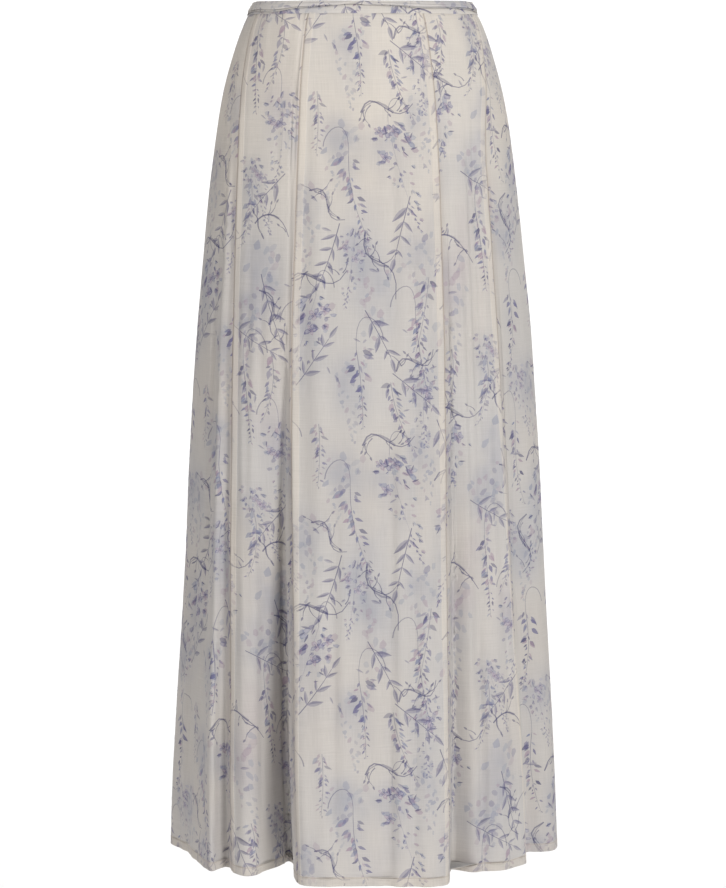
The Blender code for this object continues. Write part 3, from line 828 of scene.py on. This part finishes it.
def make_sheet(name, outline, grid, lines, strokes, place, ground, material):
    """Mesh of one cloth piece: inlaid flat cut, placed in space, with smooth normals and colours."""
    flat, corners, ink_sum, clear = inlay(outline, grid, lines, strokes)
    used, corners = np.unique(corners, return_inverse=True)
    corners = corners.reshape(-1, 3)
    flat = flat[used]
    points = place(flat[:, 0], flat[:, 1])
    normals = facing(place, flat[:, 0], flat[:, 1])
    tri = points[corners]
    flat_normals = np.cross(tri[:, 1] - tri[:, 0], tri[:, 2] - tri[:, 0])
    backward = np.einsum("ij,ij->i", flat_normals, normals[corners].sum(axis=1)) < 0
    corners[backward] = corners[backward][:, ::-1]
    mesh = bpy.data.meshes.new(name)
    mesh.vertices.add(len(points))
    mesh.vertices.foreach_set("co", points.astype(np.float32).ravel())
    mesh.loops.add(corners.size)
    mesh.loops.foreach_set("vertex_index", corners.astype(np.int32).ravel())
    mesh.polygons.add(len(corners))
    mesh.polygons.foreach_set("loop_start", np.arange(0, corners.size, 3, dtype=np.int32))
    mesh.update(calc_edges=True)
    mesh.shade_smooth()
    order = corners.ravel()
    tone = ground(flat[:, 0], flat[:, 1])[order]
    colour = np.repeat(ink_sum, 3, axis=0) + np.repeat(clear, 3)[:, None] * tone
    rgba = np.concatenate([colour, np.ones((len(colour), 1))], axis=1).astype(np.float32)
    layer = mesh.color_attributes.new("print", "FLOAT_COLOR", "CORNER")
    layer.data.foreach_set("color", rgba.ravel())
    low = flat.min(axis=0)
    size = flat.max(axis=0) - low
    for uv_name, coords in (("OFBake", (flat - low) / size * 0.996 + 0.002), ("cloth", flat)):
        uv = mesh.uv_layers.new(name=uv_name)
        uv.data.foreach_set("uv", coords[order].astype(np.float32).ravel())
    mesh.normals_split_custom_set_from_vertices(normals.tolist())
    mesh.materials.append(material)
    piece = linked(name, mesh)
    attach(piece, "root")
    return piece


# Materials

def new_material(name):
    material = bpy.data.materials.new(name)
    material.use_nodes = True
    return material, material.node_tree.nodes, material.node_tree.links


def set_inputs(node, **values):
    """Sets a node's inputs. An underscore stands for a space in an input's name."""
    for name, value in values.items():
        node.inputs[name.replace("_", " ")].default_value = value
    return node


# The weave: how many threads a metre run each way, and how much they differ in tone
WARP_SCALE = (1300.0, 36.0, 1.0)
WEFT_SCALE = (30.0, 1100.0, 1.0)
WEAVE_TONES = (0.925, 1.06)


def cloth_material(name, through):
    """Voile: printed colour, fine uneven threads both ways, soft sheen, some light passing through."""
    material, nodes, links = new_material(name)
    nodes.clear()
    output = nodes.new("ShaderNodeOutputMaterial")
    shader = set_inputs(nodes.new("ShaderNodeBsdfPrincipled"), Roughness=0.88, Specular_IOR_Level=0.22,
                        Sheen_Weight=0.12, Sheen_Roughness=0.6)
    ink = nodes.new("ShaderNodeAttribute")
    ink.attribute_name = "print"
    uv = nodes.new("ShaderNodeUVMap")
    uv.uv_map = "cloth"
    both = nodes.new("ShaderNodeMath")
    both.operation = "ADD"
    for k, scale in enumerate((WARP_SCALE, WEFT_SCALE)):
        stretch = set_inputs(nodes.new("ShaderNodeMapping"), Scale=scale)
        noise = set_inputs(nodes.new("ShaderNodeTexNoise"), Scale=1.0, Detail=1.5)
        links.new(uv.outputs["UV"], stretch.inputs["Vector"])
        links.new(stretch.outputs["Vector"], noise.inputs["Vector"])
        links.new(noise.outputs["Fac"], both.inputs[k])
    shade = set_inputs(nodes.new("ShaderNodeMapRange"), From_Min=0.6, From_Max=1.4,
                       To_Min=WEAVE_TONES[0], To_Max=WEAVE_TONES[1])
    links.new(both.outputs[0], shade.inputs["Value"])
    tint = nodes.new("ShaderNodeMix")
    tint.data_type = "RGBA"
    tint.blend_type = "MULTIPLY"
    tint.inputs["Factor"].default_value = 1.0
    links.new(ink.outputs["Color"], tint.inputs["A"])
    links.new(shade.outputs["Result"], tint.inputs["B"])
    links.new(tint.outputs["Result"], shader.inputs["Base Color"])
    bump = set_inputs(nodes.new("ShaderNodeBump"), Strength=0.35, Distance=0.0004)
    links.new(both.outputs[0], bump.inputs["Height"])
    links.new(bump.outputs["Normal"], shader.inputs["Normal"])
    glow = nodes.new("ShaderNodeBsdfTranslucent")
    links.new(tint.outputs["Result"], glow.inputs["Color"])
    mix = set_inputs(nodes.new("ShaderNodeMixShader"), Fac=through)
    links.new(shader.outputs[0], mix.inputs[1])
    links.new(glow.outputs[0], mix.inputs[2])
    links.new(mix.outputs[0], output.inputs["Surface"])
    return material


def thread_material():
    """Cream sewing thread, each stitch a little different in tone."""
    material, nodes, links = new_material("cream_thread")
    shader = set_inputs(nodes["Principled BSDF"], Roughness=0.7, Sheen_Weight=0.2)
    place = nodes.new("ShaderNodeTexCoord")
    noise = set_inputs(nodes.new("ShaderNodeTexNoise"), Scale=240.0)
    ramp = nodes.new("ShaderNodeMix")
    ramp.data_type = "RGBA"
    ramp.inputs["A"].default_value = (*linear((186, 178, 168)), 1.0)
    ramp.inputs["B"].default_value = (*linear((206, 198, 186)), 1.0)
    links.new(place.outputs["Object"], noise.inputs["Vector"])
    links.new(noise.outputs["Fac"], ramp.inputs["Factor"])
    links.new(ramp.outputs["Result"], shader.inputs["Base Color"])
    return material


# The gores let more light through than the folded band and tie
VOILE = cloth_material("printed_voile", 0.16)
FOLDED = cloth_material("folded_voile", 0.05)
THREAD = thread_material()


# The gores

def fold_back(x, edge, radius):
    """Where a cloth that passes its edge, turns over and runs back lies, and its turn."""
    past = np.maximum(x - edge, 0.0)
    back = np.maximum(past - math.pi * radius, 0.0)
    return np.minimum(x, edge) - back, np.minimum(past / radius, math.pi)


class GoreCut:
    """The flat cut of one gore and how it lies on the folded surface.

    u runs across from the gore's middle and v down from the waistband's top, both along the cloth.
    """

    def __init__(self, name, first, last, allowances, joined):
        self.under = name == "gore_wrap_under"
        self.sides = tuple(zip((-1, 1), (first, last), allowances, joined))
        start = station_of(first)
        stop = station_of(last)
        if stop <= start:
            stop += TURN
        stations = np.linspace(start, stop, 280)
        self.drops = np.linspace(0.0, LENGTH - HEM_RADIUS, 130)
        shares = np.linspace(0.0, 1.0, 301)
        self.table = []
        widths = []
        middle = []
        for drop in self.drops:
            points = sample(stations, np.full(len(stations), drop))[0]
            ring = run_of(points)
            widths.append(ring[-1])
            self.table.append(np.interp(shares, ring / ring[-1], stations))
            middle.append(points[len(points) // 2])
        self.table = np.array(self.table)
        self.widths = np.array(widths)
        self.lengths = run_of(np.array(middle))
        self.hem = self.lengths[-1]
        self.top = float(self.v_at(BAND_HEIGHT - 0.001))

    def v_at(self, drop):
        return np.interp(drop, self.drops, self.lengths)

    def half_width(self, v):
        up = np.where(v > self.hem, 2 * self.hem - v, v)
        return 0.5 * np.interp(up, self.lengths, self.widths)

    def reach(self, v):
        """How far the flat cut goes to either side, with the turning of a free edge."""
        half = self.half_width(v)
        turning = (math.pi - 1) * EDGE_RADIUS + EDGE_TURN
        return tuple(side * (half + (0.0 if joined else turning))
                     for side, line, shown, joined in self.sides)

    def small_and_covered(self, shape):
        """Whether a stroke of the under flap is a small one that the over flap hides."""
        middle = shape.mean(axis=0)
        shares = np.linspace(0.0, 1.0, self.table.shape[1])
        edge = np.interp(station_of("over_edge"), self.table[len(self.table) // 2], shares)
        covered = middle[0] < (edge - 0.5) * 2 * float(self.half_width(middle[1])) - COVERED_MARGIN
        return covered and np.ptp(shape, axis=0).max() < SMALL_STROKE

    def where(self, u, v):
        """Station and drop of a flat point short of the hem."""
        drop = np.interp(v, self.lengths, self.drops)
        row = drop / self.drops[-1] * (len(self.drops) - 1)
        share = 0.5 + u / np.interp(drop, self.drops, self.widths)
        col = np.clip(share, 0.0, 1.0) * (self.table.shape[1] - 1)
        return between(self.table, row, col), drop

    def lift(self, u, v, stations, drop):
        """Height off the folded surface: creases, seams, pressed allowances and pucker."""
        height = relief(stations, drop) + (UNDER_LIFT if self.under else VOILE_LIFT)
        half = self.half_width(v)
        for side, line, shown, joined in self.sides:
            inward = np.maximum(half - side * u, 0.0)
            rise = 1 - np.exp(-(inward / SEAM_WIDTH) ** 2)
            if joined:
                height -= SEAM_DIP * (1 - rise)
            pressed = 1 - ease((inward - ALLOWANCE) / ALLOWANCE_STEP + 0.5)
            height += shown * ALLOWANCE_LIFT * rise * pressed
            wave = random_field(drop / 0.012, np.full(len(drop), 7.0 * FOLD_NAMES.index(line)), 31, 400)
            height += PUCKER * np.exp(-inward / 0.009) * wave * ease(drop / 0.05)
        if self.under:
            height -= under_sink(stations, FLAP_SINK)
        return height

    def place(self, u, v):
        """Flat points put in space, with the hem and free edges turned in."""
        v_on, hem_turn = fold_back(v, self.hem, HEM_RADIUS)
        half = self.half_width(v_on)
        u_on = np.clip(u, -half, half)
        edge_turn = np.zeros(len(u))
        for side, line, shown, joined in self.sides:
            if not joined:
                edge = half - EDGE_RADIUS
                back, turn = fold_back(side * u, edge, EDGE_RADIUS)
                beyond = side * u > edge
                u_on = np.where(beyond, side * back, u_on)
                edge_turn = np.where(beyond, side * turn, edge_turn)
        stations, drop = self.where(u_on, v_on)
        point, out, along, down = sample(stations, drop)
        height = (self.lift(u_on, v_on, stations, drop) - HEM_RADIUS * (1 - np.cos(hem_turn))
                  - EDGE_RADIUS * (1 - np.cos(edge_turn)))
        return (point + out * height[:, None] + down * (HEM_RADIUS * np.sin(hem_turn))[:, None]
                + along * (EDGE_RADIUS * np.sin(edge_turn))[:, None])


def gore_rows(cut):
    """Rows of the flat cut, at the same drops on every gore so that seam edges meet."""
    above_hem = (HEM_TURN + 0.0012, HEM_TURN + 0.0002, HEM_TURN - 0.0010, 0.0055, 0.0022, 0.0006, 0.0)
    hem_drop = LENGTH - HEM_RADIUS
    drops = list(np.arange(BAND_HEIGHT - 0.001, hem_drop - HEM_TURN - 0.0025, ROW_STEP))
    drops += [hem_drop - above for above in above_hem]
    rows = list(cut.v_at(np.array(drops)))
    rows += [cut.hem + share * math.pi * HEM_RADIUS for share in (0.2, 0.4, 0.6, 0.8, 1.0)]
    rows += [cut.hem + math.pi * HEM_RADIUS + up for up in (0.003, 0.0065, HEM_TURN)]
    return np.array(rows)


def edge_columns(cut, half):
    """Places across the flat cut of the lines that run down beside its edges."""
    turning = math.pi * EDGE_RADIUS
    turned_in = (0.0, 0.25 * turning, 0.5 * turning, 0.75 * turning, turning, turning + 0.003)
    columns = []
    for side, fold, shown, joined in cut.sides:
        columns += [side * (half - x) for x in EDGE_COLUMNS]
        if not joined:
            columns += [side * (half - EDGE_RADIUS + x) for x in turned_in]
    return columns


def gore_grid(cut, rows):
    """Inner points of the flat cut, in columns that follow the fold lines."""
    points = []
    count = int(2 * float(cut.half_width(cut.hem)) / COLUMN_STEP)
    for v in rows[1:-1:2]:
        half = float(cut.half_width(v))
        inside = np.linspace(-half, half, count + 1)[1:-1]
        points.extend((x, v) for x in inside if abs(x) < half - EDGE_COLUMNS[-1] - 0.001)
    return points


def gore_lines(cut, rows):
    """Lines that the flat cut's triangles keep to: beside the edges and round the turned hem."""
    columns = np.array([edge_columns(cut, float(cut.half_width(v))) for v in rows])
    lines = [list(zip(columns[:, k], rows)) for k in range(columns.shape[1])]
    for v in rows[rows > cut.hem - HEM_TURN - 0.0015][:-1]:
        first, last = (float(x) for x in cut.reach(v))
        lines.append([(x, v) for x in np.linspace(first, last, int((last - first) / 0.0045))[1:-1]])
    return lines


def gore_outline(cut, rows):
    left, right = zip(*[cut.reach(v) for v in rows])
    return [(float(x), v) for x, v in zip(right, rows)] + [(float(x), v) for x, v in zip(left, rows)][::-1]


def cloth_ground(start, painted_shade_lower_down):
    """Colour of the unprinted cloth at flat points: cream, with painted shade that makes it greyer lower
    down, and faint patches.
    """
    def ground(u, v):
        # On the gores the cream fades to greige lower down, which is painted shade; the band and tie take a
        # fixed share of greige
        blend = ease((v - 0.12) / 0.22)[:, None] if painted_shade_lower_down else np.full((len(u), 1), 0.3)
        base = linear(CREAM) * (1 - blend) + linear(GREIGE) * blend
        patch = random_field((u + 2.0) / 0.055, (v + start[1]) / 0.085, 51)[:, None]
        cool = random_field((u + 2.0) / 0.09, (v + start[0]) / 0.12, 57)[:, None]
        return washed(base * (1 + 0.022 * patch + np.array((-0.014, 0.0, 0.018)) * cool), u, v, start)
    return ground


def painted_seam_shade(cut, ground):
    """The ground with painted brownish shade beside each joined seam, where the seam's valley lies, wider
    toward the hem.
    """
    def shaded(u, v):
        base = ground(u, v)
        half = cut.half_width(v)
        reach = 0.003 + 0.009 * np.clip(v / cut.hem, 0, 1)
        for side, line, shown, joined in cut.sides:
            if joined and not shown:
                # Painted shade: the thread ink laid over the ground beside a joined seam, strongest at the
                # seam
                share = 0.22 * ease(v / 0.3) * np.exp(-((half - side * u) / reach) ** 2)
                base = base * (1 - share[:, None]) + linear(INKS["thread"]) * share[:, None]
        return base
    return shaded


def sewn_bands(cut, rows):
    """Lighter doubled cloth at the pressed allowances and hem, and the dark line of each seam."""
    strokes = []
    for side, line, shown, joined in cut.sides:
        at = rows[::4]
        edge = [(side * (float(cut.half_width(v)) + 0.010), v) for v in at]
        if shown:
            inner = [(side * (float(cut.half_width(v)) - ALLOWANCE), v) for v in at][::-1]
            strokes.append((np.array(edge + inner), "warm", 0.38))
        if joined:
            inner = [(side * (float(cut.half_width(v)) - 0.0007), v) for v in at][::-1]
            strokes.append((np.array(edge + inner), "thread", 0.45))
    first, last = (float(x) for x in cut.reach(cut.hem))
    for above, below, ink, cover in ((HEM_TURN, -0.03, "warm", 0.34),
                                     (HEM_TURN - 0.0006, HEM_TURN - 0.0014, "thread", 0.30)):
        strokes.append((np.array([(first - 0.01, cut.hem - above), (last + 0.01, cut.hem - above),
                                  (last + 0.01, cut.hem - below), (first - 0.01, cut.hem - below)]),
                        ink, cover))
    return strokes


def build_gore(name, first, last, start, allowances, joined):
    cut = GoreCut(name, first, last, allowances, joined)
    rows = gore_rows(cut)
    widest = float(cut.half_width(cut.hem))
    strokes = print_over((-widest, cut.top), (widest, rows[-1]), start, cut.reach)
    if cut.under:
        strokes = [stroke for stroke in strokes if not cut.small_and_covered(stroke[0])]
    piece = make_sheet(name + "_cloth", gore_outline(cut, rows), gore_grid(cut, rows),
                       gore_lines(cut, rows), strokes + sewn_bands(cut, rows), cut.place,
                       painted_seam_shade(cut, cloth_ground(start, True)), VOILE)
    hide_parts(name)
    return cut


# Waistband, tie, knot and hanging ends

def run_along(start, stop, drop, count):
    """Stations from start to stop and how far each lies along the cloth."""
    stations = np.linspace(start, stop, count)
    return stations, run_of(sample(stations, np.full(count, drop))[0])


def stadium(share, width, radius):
    """Across and outward places round a flat tube's section, from the middle of its inner face."""
    straight = np.maximum(width - 2 * radius, 0.0002)
    half = 0.5 * straight
    bend = math.pi * radius
    s = share * (2 * straight + 2 * bend)
    first = np.clip((s - half) / radius, 0.0, math.pi)
    second = np.clip((s - half - bend - straight) / radius, 0.0, math.pi)
    across = np.where(s < half, -s, np.where(s < half + bend, -half - radius * np.sin(first), np.where(
        s < half + bend + straight, s - bend - straight, np.where(
            s < half + 2 * bend + straight, half + radius * np.sin(second),
            2 * half + half + 2 * bend + straight - s))))
    outward = np.where(s < half + bend, -radius * np.cos(first), radius * np.cos(second))
    return across, outward


def closed_ends(x, length, radius):
    """Radius of a tube that pinches shut at both ends."""
    return 0.00015 + (radius - 0.00015) * ease(np.minimum(x, length - x) / 0.0025)


def strip(name, node, size, step, cross_lines, place, print_start):
    """One narrow cloth piece, cut as a rectangle and inlaid with the print."""
    wide, tall = size
    if wide > tall:
        us = np.linspace(0, wide, int(wide / step))
        vs = np.array(cross_lines) * tall
    else:
        us = np.array(cross_lines) * wide
        vs = np.linspace(0, tall, int(tall / step))
    outline = ([(u, 0.0) for u in us] + [(wide, v) for v in vs[1:]] + [(u, tall) for u in us[-2::-1]]
               + [(0.0, v) for v in vs[-2:0:-1]])
    grid = [(u, v) for u in us[1:-1] for v in vs[1:-1]]
    strokes = print_over((0.0, 0.0), size, print_start, lambda v: (np.zeros(len(v)), np.full(len(v), wide)))
    lines = [[(u, v) for u in us] for v in vs[1:-1]] if wide > tall else [
        [(u, v) for v in vs] for u in us[1:-1]]
    piece = make_sheet(name, outline, grid, lines, strokes, place, cloth_ground(print_start, False), FOLDED)
    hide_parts(node)


def build_band():
    stations, run = run_along(station_of("valley_over"), station_of("over_edge") + TURN,
                              BAND_TOP, RUN_POINTS)
    length = run[-1]
    bend = math.pi * BAND_HALF
    outside = BAND_HEIGHT - BAND_HALF
    tall = BAND_INSIDE + bend + outside

    def place(u, v):
        s = np.interp(u, run, stations)
        turn = np.clip((v - BAND_INSIDE) / BAND_HALF, 0.0, math.pi)
        over = np.maximum(v - BAND_INSIDE - bend, 0.0)
        inside = np.maximum(BAND_INSIDE - v, 0.0)
        drop = BAND_HALF * (1 - np.sin(turn)) + inside + over
        radius = closed_ends(u, length, BAND_HALF)
        point, out, along, down = sample(s, np.minimum(drop, BAND_HEIGHT))
        slack = 0.00035 * random_field(u / 0.013, drop / 0.020 + 2, 61)
        roll = 0.0004 * ease((drop - BAND_HEIGHT + 0.0015) / 0.0015)
        height = -radius * np.cos(turn) + slack * (v > BAND_INSIDE) - roll * (v > BAND_INSIDE + bend)
        return point + out * (height - under_sink(s, BAND_SINK))[:, None]

    lines = np.concatenate([np.linspace(0, BAND_INSIDE, 4),
                            BAND_INSIDE + bend * np.array((0.25, 0.5, 0.75, 1.0)),
                            BAND_INSIDE + bend + outside * np.linspace(0.15, 1.0, 8)]) / tall
    strip("waistband_cloth", "waistband", (length, tall), 0.0045, lines, place,
          (0.040, -0.028))


def build_tie():
    knot = station_of(KNOT_LINE)
    stations, run = run_along(knot, knot + TURN, KNOT_DROP, RUN_POINTS)
    margin = KNOT_HALF[0] + SEAM_GAP
    length = run[-1] - 2 * margin
    angles = np.array([row[0] for row in TIE_FOOT])
    feet = np.array([row[1] for row in TIE_FOOT])

    def place(u, v):
        s = np.interp(u + margin, run, stations)
        angle = np.degrees(curve(STATIONS, ANGLES[:, 0], np.where(s > TURN, s - TURN, s))) % 360.0
        foot = curve(angles, feet, angle)
        width = foot - TIE_TOP_DROP
        across, outward = stadium(np.clip(v / TIE_CUT, 0, 1), width, TIE_HALF)
        drop = np.maximum(TIE_TOP_DROP + 0.5 * width + across, 0.0)
        point, out, along, down = sample(s, drop)
        waver = random_field(u / 0.07, u * 0 + 3, 67, 400)
        fold = 0.00028 * np.sin(2 * math.pi * (across / 0.0034 + waver))
        crease = 0.0004 * random_field(u / 0.016, across / 0.004 + 7, 71)
        height = TIE_OFFSET + outward + (fold + crease) * (outward > 0)
        lower = ease(0.5 + across / width)
        height += TIE_FLARE * lower * ease((np.cos(np.radians(angle)) + 0.2) / 1.2)
        return point + out * height[:, None]

    lines = (0.0, 0.12, 0.225, 0.25, 0.275, 0.32, 0.38, 0.44, 0.5, 0.56, 0.62, 0.68, 0.725, 0.75,
             0.775, 0.88, 1.0)
    strip("tie_strap_cloth", "tie_strap", (length, TIE_CUT), 0.0040, lines, place,
          (0.020, -0.150))


def knot_frame():
    point, out, along, down = sample(np.array([station_of(KNOT_LINE)]), np.array([KNOT_DROP]))
    level = unit(out[0] * LEVEL)
    return point[0] + level * KNOT_OUT, level, along[0]


def build_knot():
    centre, out, along = knot_frame()

    def squared(value):
        return np.sign(value) * np.abs(value) ** KNOT_POWER

    def place(u, v):
        turn = 2 * math.pi * u / KNOT_CUT[0]
        lift = math.radians(86.0) * (1 - 2 * np.clip(v / KNOT_CUT[1], 0.0, 1.0))
        wide = squared(np.cos(lift))
        high = squared(np.sin(lift))
        side = squared(np.cos(turn)) * wide
        deep = -squared(np.sin(turn)) * wide
        wrap = np.exp(-(side / 0.42) ** 4)
        folds = (0.05 * np.sin(9.0 * side + 5.0 * high + 1.4) * (1 - wrap)
                 + 0.045 * np.sin(13.0 * high + 3 * side) * wrap)
        swell = 0.86 + 0.10 * wrap + folds
        x = side * KNOT_HALF[0] * (0.97 + 0.3 * folds)
        z = high * KNOT_HALF[2] * (0.84 + 0.13 * wrap)
        y = deep * KNOT_HALF[1] * swell - KNOT_LEAN * z
        return centre + along * x[:, None] + out * y[:, None] + UP * z[:, None]

    lines = np.linspace(0, 1, 30)
    strip("tie_knot_cloth", "tie_knot", KNOT_CUT, 0.0012, lines, place, (0.110, 0.060))


SCALE_DROPS = np.linspace(0.0, 0.35, 36)


def knot_scales():
    """Metres of cloth for each metre of station under the knot, at each drop."""
    small = 0.002
    knot = station_of(KNOT_LINE)
    count = len(SCALE_DROPS)
    left = sample(np.full(count, knot - small), SCALE_DROPS)[0]
    right = sample(np.full(count, knot + small), SCALE_DROPS)[0]
    return np.linalg.norm(right - left, axis=1) / (2 * small)


SCALES = knot_scales()


def build_end(node, side, length, spread):
    knot = station_of(KNOT_LINE)
    start = KNOT_DROP + KNOT_HALF[2] + SEAM_GAP
    cut = (2 * END_WIDTHS[1] + 0.002, length)

    def place(u, v):
        fallen = np.clip(v, 0.0, length)
        width = END_WIDTHS[0] + (END_WIDTHS[1] - END_WIDTHS[0]) * ease(fallen / END_WIDEN)
        near = 0.5 * (END_WIDTHS[0] + END_GAP) + spread * (fallen / length) ** END_SPREAD_POWER
        away = END_CLEAR + (KNOT_OUT - END_CLEAR) * (1 - ease(fallen / END_LIFT))
        radius = closed_ends(fallen, length, END_HALF)
        across, outward = stadium(np.clip(u / cut[0], 0, 1), width, radius)
        drop = start + fallen
        scale = np.interp(drop, SCALE_DROPS, SCALES)
        point, out, along, down = sample(knot + (side * near + across) / scale, drop)
        ripple = 0.0011 * np.sin(fallen / 0.011 + 2.0 * side + across / 0.006) * ease(fallen / 0.05)
        crease = 0.0004 * random_field((across + 1.0) / 0.005, fallen / 0.03, 83)
        fold = 0.0010 * (across / (0.5 * width)) ** 2 * ease(fallen / 0.08)
        return point + unit(out * LEVEL) * (away + outward + ripple + crease + fold)[:, None]

    lines = (0.0, 0.08, 0.16, 0.235, 0.25, 0.265, 0.32, 0.38, 0.44, 0.5, 0.56, 0.62, 0.68, 0.735,
             0.75, 0.765, 0.84, 0.92, 1.0)
    strip(node + "_cloth", node, cut, 0.0040, lines, place, (0.070 + 0.1 * side, 0.210))


# One stitch: its points along, across and outward, and its faces
STITCH_POINTS = ((-1.0, 0.0, 0.0), (-0.55, -1.0, 0.0), (0.55, -1.0, 0.0), (1.0, 0.0, 0.0),
                 (0.55, 1.0, 0.0), (-0.55, 1.0, 0.0), (-0.5, 0.0, 1.0), (0.5, 0.0, 1.0))
STITCH_FACES = ((0, 1, 6), (1, 2, 7, 6), (2, 3, 7), (3, 4, 7), (4, 5, 6, 7), (5, 0, 6))


def stitch_row(name, places):
    """Small raised stitches, one at each place: point, outward normal, direction."""
    points = []
    faces = []
    for point, out, direction in places:
        side = np.cross(out, direction)
        first = len(points)
        for a, b, c in STITCH_POINTS:
            points.append(point + direction * a * 0.5 * STITCH_LENGTH
                          + side * b * 0.5 * STITCH_THICK + out * c * 0.6 * STITCH_THICK)
        faces.extend([tuple(first + k for k in face) for face in STITCH_FACES])
    mesh = bpy.data.meshes.new(name)
    mesh.from_pydata([tuple(p) for p in points], [], faces)
    mesh.shade_smooth()
    uv = mesh.uv_layers.new(name="OFBake")
    columns = int(math.ceil(math.sqrt(len(places))))
    for k, polygon in enumerate(mesh.polygons):
        cell = k // len(STITCH_FACES)
        cx = (cell % columns + 0.5) / columns
        cy = (cell // columns + 0.5) / columns
        for loop in polygon.loop_indices:
            a, b, c = STITCH_POINTS[mesh.loops[loop].vertex_index - cell * len(STITCH_POINTS)]
            uv.data[loop].uv = (cx + 0.45 * a / columns, cy + 0.3 * (b if c == 0 else 0.1 * c) / columns)
    mesh.materials.append(THREAD)
    piece = linked(name, mesh)
    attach(piece, "root")


def stitch_places(place, us, vs):
    """Evenly spaced stitch places along a line on a sheet's flat cut."""
    run = run_of(place(us, vs))
    at = np.arange(0.5 * STITCH_STEP, run[-1], STITCH_STEP)
    u = np.interp(at, run, us)
    v = np.interp(at, run, vs)
    here = place(u, v)
    normals = facing(place, u, v)
    ahead = place(np.interp(at + 0.0005, run, us), np.interp(at + 0.0005, run, vs)) - here
    ahead /= np.maximum(np.linalg.norm(ahead, axis=1, keepdims=True), 1e-9)
    return list(zip(here + normals * 0.00005, normals, ahead))


build_band()
build_tie()
build_knot()
for node, side, length, spread in TIE_ENDS:
    build_end(node, side, length, spread)
hem_places = []
edge_places = []
for gore in GORES:
    cut = build_gore(*gore)
    first, last = (float(x) for x in cut.reach(cut.hem))
    half = float(cut.half_width(cut.hem))
    us = np.linspace(max(first, -half) + 0.001, min(last, half) - 0.001, 60)
    hem_places += stitch_places(cut.place, us, np.full(60, cut.hem - HEM_TURN + 0.0018))
    if gore[0] == "gore_wrap_over":
        vs = np.linspace(cut.top + 0.004, cut.hem - 0.002, 300)
        edge_places += stitch_places(cut.place, cut.half_width(vs) - ALLOWANCE + 0.0012, vs)
stitch_row("hem_stitches", hem_places)
stitch_row("wrap_edge_stitches", edge_places)


# Floor, light and camera

FLOOR_BELOW = 0.72
CURVE_START = 3.0
CURVE_RADIUS = 2.0
WALL_HEIGHT = 8.0
PAPER = (0.93, 0.93, 0.93, 1.0)


def build_backdrop():
    """Pale floor below the hem that sweeps up into a wall behind."""
    floor = BAND_TOP - LENGTH - FLOOR_BELOW
    profile = [(-6.0, floor), (CURVE_START, floor)]
    for k in range(1, 13):
        a = math.radians(7.5 * k)
        profile.append((CURVE_START + CURVE_RADIUS * math.sin(a), floor + CURVE_RADIUS * (1 - math.cos(a))))
    profile.append((CURVE_START + CURVE_RADIUS, floor + WALL_HEIGHT))
    points = [(x, y, z) for x in (-8.0, 8.0) for y, z in profile]
    count = len(profile)
    faces = [(k, k + 1, count + k + 1, count + k) for k in range(count - 1)]
    mesh = bpy.data.meshes.new("backdrop")
    mesh.from_pydata(points, [], faces)
    mesh.shade_smooth()
    paper, nodes, _ = new_material("backdrop_paper")
    set_inputs(nodes["Principled BSDF"], Base_Color=PAPER, Roughness=0.95)
    mesh.materials.append(paper)
    stage = linked("backdrop", mesh)


def point_at(thing, place, aim):
    thing.location = place
    thing.rotation_euler = (Vector(aim) - Vector(place)).to_track_quat("-Z", "Y").to_euler()


def area_light(name, place, aim, size, power, colour):
    data = bpy.data.lights.new(name, "AREA")
    data.shape = "RECTANGLE"
    data.size, data.size_y = size
    data.energy = power
    data.color = colour
    point_at(linked(name, data), place, aim)


# Lights: name, place, point aimed at, size, power in watts, colour
LIGHTS = (
    ("key", (1.7, -2.95, 0.65), (0, 0, -0.45), (0.9, 1.8), 82, (1.0, 0.985, 0.965)),
    ("fill", (-2.4, -2.6, 0.2), (0, 0, -0.5), (2.0, 2.4), 29, (1.0, 0.955, 0.92)),
    ("back", (0.0, 2.4, 2.4), (0, 4.5, 0.0), (4.0, 2.0), 110, (1.0, 1.0, 1.0)),
)
# The camera that fits the photograph
CAMERA_DISTANCE = 3.40
CAMERA_BELOW_TOP = 0.10
AIM_BELOW_TOP = 0.504
LENS = 120.0


def build_camera():
    data = bpy.data.cameras.new("camera")
    data.lens = LENS
    data.sensor_width = 36.0
    data.sensor_fit = "AUTO"
    camera = linked("camera", data)
    point_at(camera, (0.0, -CAMERA_DISTANCE, BAND_TOP - CAMERA_BELOW_TOP),
             (0.0, 0.0, BAND_TOP - AIM_BELOW_TOP))
    bpy.context.scene.camera = camera


build_backdrop()
for light in LIGHTS:
    area_light(*light)
world = bpy.data.worlds.new("studio")
world.use_nodes = True
set_inputs(world.node_tree.nodes["Background"], Color=(1.0, 0.988, 0.978, 1.0), Strength=0.40)
bpy.context.scene.world = world
bpy.context.scene.view_settings.view_transform = "Standard"
build_camera()
